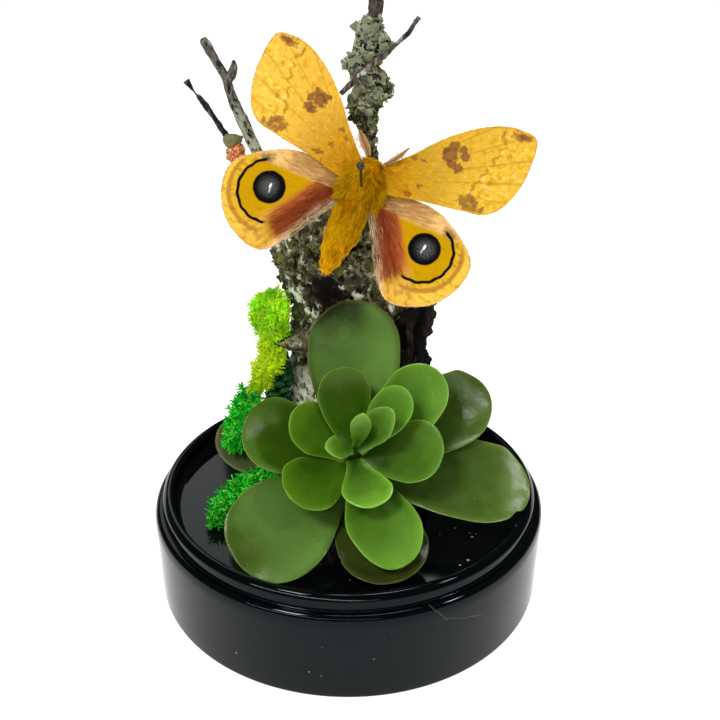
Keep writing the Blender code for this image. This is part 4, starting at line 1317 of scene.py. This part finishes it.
# side, hinge forward, lift, dihedral, turn, stretch out, stretch forward
WINGS = {
    "forewing_left": (-1, 2.0, 0.6, 3.0, 1.0, 0.98, 1.0),
    "forewing_right": (1, 2.0, 0.6, 3.0, -2.2, 1.0, 0.99),
    "hindwing_left": (-1, -2.5, -0.5, 2.0, 3.4, 0.99, 1.02),
    "hindwing_right": (1, -2.5, -0.5, 2.0, -1.0, 0.99, 0.98),
}


def wing_pose(side, hinge, lift, dihedral, turn, stretch_out, stretch_forward):
    """From a wing's own (out, forward) plane to the display."""
    return (
        moth_pose
        @ Matrix.Translation((side * HINGE_OUT, hinge, lift))
        @ Matrix.Rotation(math.radians(-side * dihedral), 4, "Y")
        @ Matrix.Rotation(math.radians(side * turn), 4, "Z")
        @ Matrix.Diagonal((side * stretch_out, stretch_forward, 1.0, 1.0))
    )


def wing_outline(name, outline):
    """The flat outline through its points, smoothed and filled."""
    curve = bpy.data.curves.new(name, "CURVE")
    curve.dimensions = "2D"
    curve.fill_mode = "BOTH"
    spline = curve.splines.new("BEZIER")
    spline.use_cyclic_u = True
    spline.bezier_points.add(len(outline) - 1)
    for point, (out, forward) in zip(spline.bezier_points, outline):
        point.co = (out, forward, 0)
        point.handle_left_type = point.handle_right_type = "AUTO"
    guide = bpy.data.objects.new(name, curve)
    bpy.context.scene.collection.objects.link(guide)
    seen = guide.evaluated_get(bpy.context.evaluated_depsgraph_get())
    mesh = bpy.data.meshes.new_from_object(seen)
    bpy.data.objects.remove(guide)
    bm = bmesh.new()
    bm.from_mesh(mesh)
    bpy.data.meshes.remove(mesh)
    bmesh.ops.remove_doubles(bm, verts=bm.verts, dist=0.001)
    return bm


def relief_of_wing(out, forward):
    """Shallow folds along the veins, which spread from the hinge, and a faint buckle across them."""
    angle = math.atan2(forward, out)
    reach = min(1.0, math.hypot(out, forward) / 12.0)
    buckle = noise.noise(Vector((out / 9.0, forward / 9.0, 1.0)))
    return 0.10 * math.sin(angle * VEINS) * reach + 0.25 * buckle


def wing_form(name, outline, pose):
    """A thin closed membrane, cut into a grid and folded, which keeps its (out, forward) place."""
    bm = wing_outline(name, outline)
    for axis in (0, 1):
        normal = Vector((1 - axis, axis, 0))
        low = min(vert.co[axis] for vert in bm.verts)
        high = max(vert.co[axis] for vert in bm.verts)
        for cut in range(1, int((high - low) / WING_GRID) + 1):
            everything = bm.verts[:] + bm.edges[:] + bm.faces[:]
            at = normal * (low + cut * WING_GRID)
            bmesh.ops.bisect_plane(bm, geom=everything, dist=0.0001, plane_co=at, plane_no=normal)
    bmesh.ops.remove_doubles(bm, verts=bm.verts, dist=0.01)
    bmesh.ops.recalc_face_normals(bm, faces=bm.faces)
    raised = bmesh.ops.extrude_face_region(bm, geom=bm.faces[:])
    top = [item for item in raised["geom"] if isinstance(item, bmesh.types.BMVert)]
    bmesh.ops.translate(bm, vec=(0, 0, MEMBRANE), verts=top)
    bmesh.ops.recalc_face_normals(bm, faces=bm.faces)
    place = bm.verts.layers.float_vector.new("wing")
    for vert in bm.verts:
        vert[place] = Vector((vert.co.x, vert.co.y, 0.0))
        vert.co.z += relief_of_wing(vert.co.x, vert.co.y) - MEMBRANE / 2
    bmesh.ops.transform(bm, matrix=pose, verts=bm.verts)
    bmesh.ops.recalc_face_normals(bm, faces=bm.faces)
    return bm


class WingLook(Look):
    """A wing's finish, with its marks placed in the wing's own (out, forward) millimetres."""

    def __init__(self, name):
        super().__init__(name, roughness=0.8, specular_ior_level=0.05)
        self.spot_place = self.attribute("wing", "Vector")
        self.out = self.axis(self.spot_place, "X")
        self.forward = self.axis(self.spot_place, "Y")
        self.angle = self.forward.math("ARCTAN2", self.out)
        self.reach = self.vector("LENGTH", self.spot_place)
        fan = self.add("CombineXYZ", {}, {"X": self.angle * 22.0, "Y": self.reach * 0.55})
        self.streaks = self.noise(fan, 1.0, detail=5.0, roughness=0.65)
        self.mottle = self.noise(self.spot_place, 1.3, detail=4.0)
        self.scales = self.noise(self.spot_place, 0.22, detail=2.0)
        self.waver = (self.mottle - 0.5) * 0.7
        shift = self.add("TexNoise", {}, {"Vector": self.spot_place, "Scale": 1.1, "Detail": 3.0}, "Color")
        around = self.vector("MULTIPLY_ADD", shift, (2.2, 2.2, 0.0), (-1.1, -1.1, 0.0))
        self.bent = self.vector("ADD", self.spot_place, around)

    def spot(self, out, forward, half_out, half_forward=None, soft=0.2, ragged=1.0, bent=True):
        """1 inside an ellipse and 0 outside it, with a ragged edge; a bent one is also distorted."""
        half_forward = half_forward or half_out
        place = self.bent if bent else self.spot_place
        near = self.vector("MULTIPLY", place, (1.0 / half_out, 1.0 / half_forward, 0.0))
        away = self.vector("DISTANCE", near, (out / half_out, forward / half_forward, 0.0))
        return (away + self.waver * ragged).between(1.0 + soft, 1.0 - soft)

    def band(self, value, middle, half_width, soft=0.1):
        """1 where a value is within half a width of its middle."""
        return abs(value - middle).between(half_width + soft, half_width)

    def finish(self, colour):
        """Set the colour with its fine scales, and a low bump."""
        self.set(base_color=self.scaled(colour, self.scales * 0.36 + 0.82))
        self.bump(self.streaks + self.scales * 0.4, depth=0.06)


DARK_MARK = rgb(104, 62, 36)
MIDDLE_MARK = rgb(140, 94, 44)
PETAL_MARK = rgb(148, 96, 48)
PALE_MARK = rgb(172, 118, 26)
# out, forward, radius of the petals of the mark by the rear corner
REAR_PETALS = [
    (17.6, 2.4, 0.9), (18.9, 3.4, 0.85), (20.2, 2.9, 0.8),
    (18.9, 1.5, 0.85), (20.6, 1.6, 0.7), (22.0, 2.0, 0.6),
]
# the brick-red streak of a hindwing: where it starts, and the shares of its way that go out and back
STREAK_FOOT_OUT = 2.0
STREAK_FOOT_FORWARD = -1.0
STREAK_OUT = 0.587
STREAK_BACK = 0.81


def forewing_look(name, discal, basal, gold):
    """Mottled gold with faint veins, paler beyond a zigzag, with brown blots in groups."""
    look = WingLook(name)
    zigzag = look.forward.math("PINGPONG", 1.1)
    crossing = 15.9 + look.forward * 0.42 - look.forward * look.forward * 0.0075
    beyond = look.out - crossing - zigzag * 0.8
    broken = look.mottle.between(0.36, 0.56)
    line = look.band(beyond + look.waver * 0.6, 0.0, 0.20, soft=0.40) * broken
    line = line * look.forward.between(4.2, 5.2) * look.forward.between(18.6, 17.6)
    outer = beyond.between(-4.0, 3.0)
    shore = look.band(look.out - crossing, 2.6, 0.15, soft=0.6) * look.mottle.between(0.45, 0.6)
    patches = look.noise(look.spot_place, 2.6, detail=3.0)
    spokes = (look.angle * VEINS * 3.0).math("SINE") + (look.mottle - 0.5) * 0.2
    veins = look.band(spokes, 1.0, 0.03, soft=0.10)
    colour = look.layers(
        shaded(gold, 0.6),
        (gold, (look.reach + patches * 8.0).between(8.0, 24.0)),
        (rgb(196, 138, 6), (look.reach + look.mottle * 6.0).between(17.0, 9.0) * 0.7),
        (shaded(gold, 1.22), outer * 0.7),
        (rgb(204, 148, 22), patches.between(0.50, 0.68) * 0.5),
        (rgb(176, 118, 6), look.streaks.between(0.52, 0.70) * 0.6),
        (shaded(gold, 1.4), look.streaks.between(0.46, 0.30) * 0.45),
        (rgb(150, 94, 6), look.mottle.between(0.58, 0.74) * 0.45),
        (rgb(240, 206, 110), look.mottle.between(0.50, 0.30) * outer * 0.8),
        (rgb(246, 214, 116), look.mottle.between(0.38, 0.26) * 0.5),
        (shaded(gold, 0.6), veins * look.reach.between(9.0, 15.0) * 0.45),
        (PALE_MARK, line * 0.75),
        (PALE_MARK, shore * 0.45),
        (MIDDLE_MARK, look.spot(23.7, 20.0, 2.0, 1.1, soft=0.25, ragged=2.2) * 0.8),
        (DARK_MARK, look.spot(24.1, 20.2, 1.2, 0.6, soft=0.4, ragged=2.2) * 0.7),
        (MIDDLE_MARK, look.spot(25.4, 20.2, 0.8, 0.5, soft=0.4) * 0.7),
        (MIDDLE_MARK, look.spot(20.2, 19.0, 0.45, 1.5, soft=0.5, ragged=1.8) * 0.7),
    )
    for share, petals in ((0.65, REAR_PETALS), (0.85, discal)):
        for out, forward, radius in petals:
            colour = look.layers(
                colour,
                (DARK_MARK, look.spot(out, forward, radius * 1.1, soft=0.3, ragged=1.2) * share),
                (PETAL_MARK, look.spot(out, forward, radius * 0.6, soft=0.4, ragged=1.2) * share),
            )
    for out, forward, half_out, half_forward in basal:
        mark = look.spot(out, forward, half_out, half_forward, soft=0.4, ragged=1.4)
        colour = look.layers(colour, (DARK_MARK, mark * 0.7))
    look.finish(colour)
    return look


def hindwing_look(name, eye_out, eye_forward, eye_radius):
    """Orange, with the eye and its ring, a tan front, a brick-red base streak and a pale inner margin."""
    look = WingLook(name)
    front = (look.forward + (look.out - 8.0) * 0.02 + look.waver * 1.5).between(-2.0, -0.6)
    front = front * look.out.between(22.5, 18.5)
    from_centre = look.vector("SUBTRACT", look.spot_place, (eye_out - 0.35, eye_forward - 0.7, 0.0))
    bearing = look.axis(from_centre, "Y").math("ARCTAN2", look.axis(from_centre, "X"))
    away = look.vector("LENGTH", from_centre)
    wave = (bearing * 15.0).math("SINE") * 0.08 + look.waver * 0.4
    open_side = bearing.between(-1.95, -1.80) * bearing.between(1.15, 1.0)
    ring = look.band(away + wave, 6.8, 0.25, soft=0.16) * open_side
    outer_line = look.band(away + look.waver * 1.4, 8.7, 0.22, soft=0.5) * bearing.between(-1.9, -1.6)
    outer_line = outer_line * bearing.between(0.6, 0.3)
    beyond = away.between(6.6, 7.4) * open_side
    from_foot_out = look.out - STREAK_FOOT_OUT
    from_foot_forward = look.forward - STREAK_FOOT_FORWARD
    along = from_foot_out * STREAK_OUT - from_foot_forward * STREAK_BACK
    across = from_foot_out * STREAK_BACK + from_foot_forward * STREAK_OUT
    fray = (look.streaks - 0.5) * 5.5
    inner_edge = across + along * 0.10 + 1.6 + fray * 0.5
    outer_edge = across + along * 0.08 - 3.7 + fray * 0.6
    brick = inner_edge.between(-1.2, 0.6) * outer_edge.between(1.0, -0.9)
    brick = brick * (along + fray * 1.4).between(17.5, 11.5)
    cream = inner_edge.between(0.7, -0.9)
    corner = (along + fray).between(11.0, 15.0) * outer_edge.between(1.5, -0.5)
    iris = look.spot(eye_out + 0.2, eye_forward, 1.7, soft=0.75, ragged=0.4, bent=False)
    slash = look.spot(eye_out - 0.10, eye_forward + 0.35, 0.26, 0.6, soft=0.4, ragged=1.0, bent=False)
    tail = look.spot(eye_out - 0.35, eye_forward - 0.6, 0.12, 0.6, soft=0.5, ragged=0.8, bent=False)
    sparks = look.scales.between(0.60, 0.72)
    colour = look.layers(
        rgb(190, 144, 0),
        (rgb(168, 112, 0), look.streaks.between(0.5, 0.7) * 0.6),
        (rgb(216, 170, 40), beyond * 0.9),
        (rgb(166, 112, 24), beyond * look.streaks.between(0.48, 0.66) * 0.8),
        (rgb(238, 200, 84), away.between(8.6, 9.6) * open_side * look.mottle.between(0.3, 0.5) * 0.6),
        (rgb(216, 166, 62), corner * 0.6),
        (rgb(158, 92, 42), corner * look.streaks.between(0.46, 0.62) * 0.5),
        (rgb(234, 190, 116), front * 0.95),
        (rgb(206, 154, 92), front * look.streaks.between(0.46, 0.60) * 0.7),
        (rgb(140, 98, 56), front * look.streaks.between(0.58, 0.68) * 0.6),
        (rgb(84, 62, 42), look.spot(18.2, -0.8, 1.5, 1.0, soft=0.7, ragged=1.4) * 0.75),
        (rgb(178, 86, 44), brick * 0.95),
        (rgb(140, 58, 30), brick * look.streaks.between(0.50, 0.70) * 0.8),
        (rgb(204, 132, 78), brick * look.streaks.between(0.44, 0.28) * 0.8),
        (rgb(238, 190, 134), cream * 0.95),
        (rgb(240, 204, 152), cream * look.streaks.between(0.5, 0.34)),
        (rgb(196, 134, 90), cream * look.streaks.between(0.56, 0.70) * 0.6),
        (rgb(160, 98, 44), outer_line * 0.65),
        (rgb(18, 11, 6), ring),
        (rgb(5, 6, 7), look.spot(eye_out, eye_forward, eye_radius, soft=0.05, ragged=0.15, bent=False)),
        (rgb(52, 52, 50), iris * 0.8),
        (rgb(124, 124, 120), iris * look.scales.between(0.46, 0.64) * 0.7),
        (rgb(190, 190, 186), iris * sparks * 0.6),
        (rgb(236, 236, 236), slash.most(tail * 0.7)),
    )
    look.finish(colour)
    return look


# out, forward, radius of the petals of each forewing's rosette
MARKS_LEFT = [
    (12.4, 10.7, 1.3), (11.4, 11.8, 0.9), (13.5, 12.1, 0.8),
    (14.5, 10.7, 0.75), (14.4, 8.7, 0.95), (13.1, 8.3, 0.8),
]
MARKS_RIGHT = [
    (11.5, 12.9, 0.9), (10.1, 11.3, 0.6), (11.4, 10.6, 1.5), (13.4, 12.6, 0.75),
    (14.5, 11.4, 0.9), (14.1, 8.5, 0.9), (12.4, 8.9, 0.9),
]
# out, forward, half widths outwards and forwards of the blots near the hinge
BASE_MARKS_LEFT = [
    (5.5, 6.7, 0.7, 0.5), (4.1, 5.3, 0.5, 0.4), (6.4, 3.0, 0.6, 0.5),
    (8.5, 0.4, 1.3, 0.5), (7.1, -1.5, 0.5, 0.7), (2.1, 0.7, 0.5, 0.5),
]
BASE_MARKS_RIGHT = [
    (4.5, 6.9, 0.9, 0.5), (8.1, 1.8, 0.6, 0.5), (6.5, -0.9, 0.8, 0.6), (6.8, 7.3, 0.9, 0.25),
]
GOLD_LEFT = rgb(226, 174, 60)
GOLD_RIGHT = rgb(212, 166, 50)
wing_looks = {
    "forewing_left": forewing_look("left forewing scales", MARKS_LEFT, BASE_MARKS_LEFT, GOLD_LEFT),
    "forewing_right": forewing_look("right forewing scales", MARKS_RIGHT, BASE_MARKS_RIGHT, GOLD_RIGHT),
    "hindwing_left": hindwing_look("left hindwing scales", 15.0, -6.5, 3.55),
    "hindwing_right": hindwing_look("right hindwing scales", 14.3, -5.9, 3.55),
}

fringe_skin = tinted("wing hair", roughness=0.85, specular_ior_level=0.0)
CREAM = (rgb(255, 224, 172), rgb(255, 240, 204), rgb(242, 196, 142))
BRICK = (rgb(186, 92, 46), rgb(166, 74, 38), rgb(200, 112, 66))
TAN = (rgb(250, 206, 132), rgb(255, 228, 164), rgb(232, 178, 110), rgb(200, 146, 84))
GOLD = (rgb(226, 166, 10), rgb(206, 144, 6), rgb(240, 190, 40))
HAIR_THICKNESS = (0.05, 0.08)
FRINGE_THICKNESS = 0.09
FRINGE_FROM = 6.0


def wing_hair(pose, out, forward, way, length, thickness, colours, rng):
    """A hair that lies low over a wing, given by its place and its way on the wing."""
    point = Vector((out, forward, relief_of_wing(out, forward) + MEMBRANE / 2 - 0.03))
    way = Vector((way[0], way[1], rng.uniform(0.08, 0.28))).normalized()
    matrix = combed(point, way, Vector((0, 0, -1.0)), thickness, length)
    tone = rng.uniform(0.85, 1.1)
    colour = shaded(rng.choice(colours), tone)
    # the root is painted a little darker, as shade
    return (one_hair, pose @ matrix, shaded(colour, 0.95), colour)


def hindwing_hairs(pose, rng):
    """Soft hairs that fan out from the base over the brick-red streak, the inner margin and the front."""
    hairs = []
    for stroke in range(1500):
        along = 14.5 * rng.random() ** 1.1
        across = rng.gauss(0.0, 1.7) - 0.1 * along
        if not -3.0 - 0.1 * along < across < 3.4 - 0.09 * along:
            continue
        out = STREAK_FOOT_OUT + STREAK_OUT * along + STREAK_BACK * across
        forward = STREAK_FOOT_FORWARD - STREAK_BACK * along + STREAK_OUT * across
        inside = across + 0.10 * along + 1.6
        colours = BRICK
        if inside < rng.gauss(-0.1, 0.6):
            colours = CREAM
        elif abs(across) < 1.1 * rng.random():
            colours = BRICK[1:2]
        lean = rng.gauss(0.04 * across, 0.10)
        way = (STREAK_OUT + STREAK_BACK * lean, -STREAK_BACK + STREAK_OUT * lean)
        length = rng.uniform(1.4, 3.4)
        thickness = rng.uniform(*HAIR_THICKNESS)
        hairs.append(wing_hair(pose, out, forward, way, length, thickness, colours, rng))
    for stroke in range(700):
        out = rng.uniform(1.6, 3.0) + 10.0 * rng.random() ** 1.6
        forward = rng.uniform(-1.0, 3.0) - 0.02 * out
        way = (1.0, rng.gauss(0.02 * forward, 0.12))
        length = rng.uniform(1.4, 3.2)
        thickness = rng.uniform(*HAIR_THICKNESS)
        hairs.append(wing_hair(pose, out, forward, way, length, thickness, TAN, rng))
    return hairs


def forewing_hairs(pose, rng):
    """Gold hairs over the wing's base, where it meets the thorax, thinning out along the wing."""
    hairs = []
    for stroke in range(900):
        reach = 7.0 * rng.random() ** 1.4
        angle = rng.uniform(-0.45, 1.3)
        out, forward = reach * math.cos(angle) - 1.2, reach * math.sin(angle)
        way = (math.cos(angle) + rng.gauss(0, 0.15), math.sin(angle) + rng.gauss(0, 0.15))
        length = rng.uniform(0.8, 1.6)
        thickness = rng.uniform(*HAIR_THICKNESS)
        hairs.append(wing_hair(pose, out, forward, way, length, thickness, GOLD, rng))
    return hairs


def fringe(outline, pose, count, colours, rng):
    """Short hairs round a wing's edge, in the plane of the wing, but none by the hinge."""
    hairs = []
    last = len(outline)
    centre = Vector((sum(out for out, forward in outline), sum(forward for out, forward in outline))) / last
    closed = [(*outline[(index - 1) % last], 0) for index in range(last + 3)]
    for stroke in range(count):
        t = rng.random()
        position = (1.0 + t * last) / (last + 2)
        spot = Vector(smooth_station(closed, position)[:2])
        ahead = Vector(smooth_station(closed, position + 0.001)[:2])
        edge = (ahead - spot).normalized()
        outward = Vector((-edge.y, edge.x))
        if outward.dot(spot - centre) < 0:
            outward = -outward
        if spot.length < FRINGE_FROM:
            continue
        spot -= outward * 0.25
        way = outward + edge * rng.gauss(0, 0.25)
        length = rng.uniform(0.35, 0.65)
        hairs.append(wing_hair(pose, spot.x, spot.y, way, length, FRINGE_THICKNESS, colours, rng))
    return hairs


for name, values in WINGS.items():
    rng = random.Random(71 + len(name) + values[0])
    pose = wing_pose(*values)
    is_fore = name.startswith("forewing")
    outline = FOREWING if is_fore else HINDWING
    membrane = wing_form(name + "_outline", outline, pose)
    add_form(name + "_membrane", membrane, wing_looks[name], "wing_scales", name, sharp=50.0)
    hairs = forewing_hairs(pose, rng) if is_fore else hindwing_hairs(pose, rng)
    hairs += fringe(outline, pose, 1500, GOLD if is_fore else TAN, rng)
    add_growth(name + "_hair", hairs, fringe_skin, "wing_scales")


# Antennae: feathery combs of a pinkish tan on the head, each a thin shaft with barbs along both sides. The
# left one is seen broad, and the right one edge-on.
# x, y, z, half width, half depth, in the moth's own place
ANTENNAE = {
    "antenna_left": [
        (-0.9, 5.5, 1.0, 0.5, 0.25),
        (-2.0, 6.8, 1.2, 1.15, 0.25),
        (-3.6, 8.4, 1.4, 0.95, 0.25),
        (-5.0, 9.9, 1.5, 0.2, 0.1),
    ],
    "antenna_right": [
        (2.6, 4.9, 1.3, 0.3, 0.25),
        (3.8, 5.9, 1.7, 0.75, 0.25),
        (5.2, 7.8, 2.0, 0.65, 0.25),
        (6.4, 10.0, 2.1, 0.15, 0.1),
    ],
}
SHAFT_RADIUS = 0.16
SHAFT_BROWN = rgb(120, 84, 46)
BARB_ROWS = 60
BARB_THICKNESS = 0.2
comb_skin = tinted("antenna", roughness=0.7)
rng = random.Random(83)
for name, stations in ANTENNAE.items():
    shaft = spine_form([(*station[:3], SHAFT_RADIUS, SHAFT_RADIUS) for station in stations], 8, 40)
    copies = [core(shaft, SHAFT_BROWN, moth_pose)]
    for row in range(BARB_ROWS):
        t = (row + 0.5) / BARB_ROWS
        centre, width_way, depth_way, half_width, half_depth = spine_frame(stations, t)
        forward = Vector(smooth_station(stations, min(1.0, t + 0.02))[:3]) - centre
        for side in (-1, 1):
            way = (width_way * side + forward.normalized() * 0.55).normalized()
            length = half_width * 1.15 * rng.uniform(0.92, 1.05)
            matrix = moth_pose @ combed(centre, way, forward, BARB_THICKNESS, length)
            tone = rng.uniform(0.85, 1.1)
            foot = shaded(rgb(170, 128, 72), tone)
            copies.append((one_hair, matrix, foot, shaded(rgb(210, 168, 112), tone)))
    add_growth(name + "_comb", copies, comb_skin, "antenna", name)


# Pin: a black enamelled steel insect pin with a round head. It is pushed through the thorax into the top of
# the trunk.
PIN_TILT = -10.0
PIN_ABOVE = 13.2
PIN_BELOW = 26.8
PIN_RADIUS = 0.3
PIN_HEAD_RADIUS = 0.8
HEAD_POINTS = 18
pin_skin = Look("black enamelled steel", base_color=rgb(14, 15, 18))
pin_skin.set(roughness=0.10 + 0.12 * pin_skin.noise(pin_skin.place(), 0.6))
pin_profile = [
    (0.0, -PIN_BELOW),
    (PIN_RADIUS * 0.25, -PIN_BELOW + 0.6),
    (PIN_RADIUS, -PIN_BELOW + 3.0),
    (PIN_RADIUS, PIN_ABOVE - 1.9),
    (PIN_RADIUS * 1.15, PIN_ABOVE - 1.66),
]
for step in range(3, HEAD_POINTS + 1):
    turn = math.pi * step / HEAD_POINTS
    height = PIN_ABOVE - PIN_HEAD_RADIUS * (1.0 + math.cos(turn))
    pin_profile.append((PIN_HEAD_RADIUS * math.sin(turn), height))
pin_form = turned(pin_profile, 24)
pin_pose = (
    moth_pose
    @ Matrix.Translation(PIN_PLACE)
    @ Matrix.Rotation(math.radians(-MOTH_ROLL), 4, "Z")
    @ Matrix.Rotation(math.radians(PIN_TILT), 4, "X")
)
bmesh.ops.transform(pin_form, matrix=pin_pose, verts=pin_form.verts)
add_form("pin_steel", pin_form, pin_skin, "pin_black", "pin")


# Stage: a plain white floor and a white wall far round it, in metres, under soft studio light. The wall only
# closes the view behind the floor: it lights nothing and casts no shadow.
FLOOR_SIZE = 4.0
WALL_HEIGHT = 3.0
WORLD_LIGHT = 0.07
WHITE = (1.0, 1.0, 1.0, 1.0)
paper = Look("white paper", base_color=(0.4, 0.4, 0.4, 1.0), roughness=1.0, specular_ior_level=0.0)
paper.set(emission_color=WHITE, emission_strength=0.97)


def add_stage(name, bm):
    """Link a form in metres as a part of the studio."""
    mesh = bpy.data.meshes.new(name)
    bm.to_mesh(mesh)
    bm.free()
    mesh.materials.append(paper.material)
    scenery = bpy.data.objects.new(name, mesh)
    bpy.context.scene.collection.objects.link(scenery)
    return scenery


floor_bm = bmesh.new()
bmesh.ops.create_grid(floor_bm, x_segments=1, y_segments=1, size=FLOOR_SIZE)
add_stage("studio_floor", floor_bm)
wall_bm = bmesh.new()
wall_size = {"radius1": FLOOR_SIZE, "radius2": FLOOR_SIZE, "depth": WALL_HEIGHT}
bmesh.ops.create_cone(wall_bm, cap_ends=False, segments=64, **wall_size)
bmesh.ops.translate(wall_bm, vec=(0.0, 0.0, WALL_HEIGHT / 2), verts=wall_bm.verts)
wall = add_stage("studio_wall", wall_bm)
wall.visible_diffuse = False
wall.visible_glossy = False
wall.visible_transmission = False
wall.visible_shadow = False

world = bpy.data.worlds.new("studio")
world.use_nodes = True
background = world.node_tree.nodes["Background"]
background.inputs["Color"].default_value = WHITE
background.inputs["Strength"].default_value = WORLD_LIGHT
bpy.context.scene.world = world


def soft_light(name, place, aim, size, power, height=None):
    """An area light in metres and watts that faces a point, square unless it has a height."""
    lamp = bpy.data.lights.new(name, "AREA")
    lamp.shape = "RECTANGLE"
    lamp.size = size
    lamp.size_y = height or size
    lamp.energy = power
    light = bpy.data.objects.new(name, lamp)
    light.location = place
    light.rotation_euler = (Vector(aim) - Vector(place)).to_track_quat("-Z", "Y").to_euler()
    bpy.context.scene.collection.objects.link(light)


MIDDLE = (0.0, 0.0, 0.07)
soft_light("key", (-0.35, -0.45, 0.75), MIDDLE, size=0.18, power=4.6)
soft_light("strip", (-0.22, -0.62, 0.55), MIDDLE, size=1.0, height=0.015, power=1.7)
soft_light("fill", (0.55, -0.25, 0.60), MIDDLE, size=0.10, power=1.8)
soft_light("top", (0.05, 0.30, 0.80), MIDDLE, size=0.2, power=3.0)
# a dim card behind the left, which the base's floor mirrors
soft_light("card", (-0.14, 0.30, 0.28), (-0.035, -0.01, 0.023), size=0.13, power=0.09)
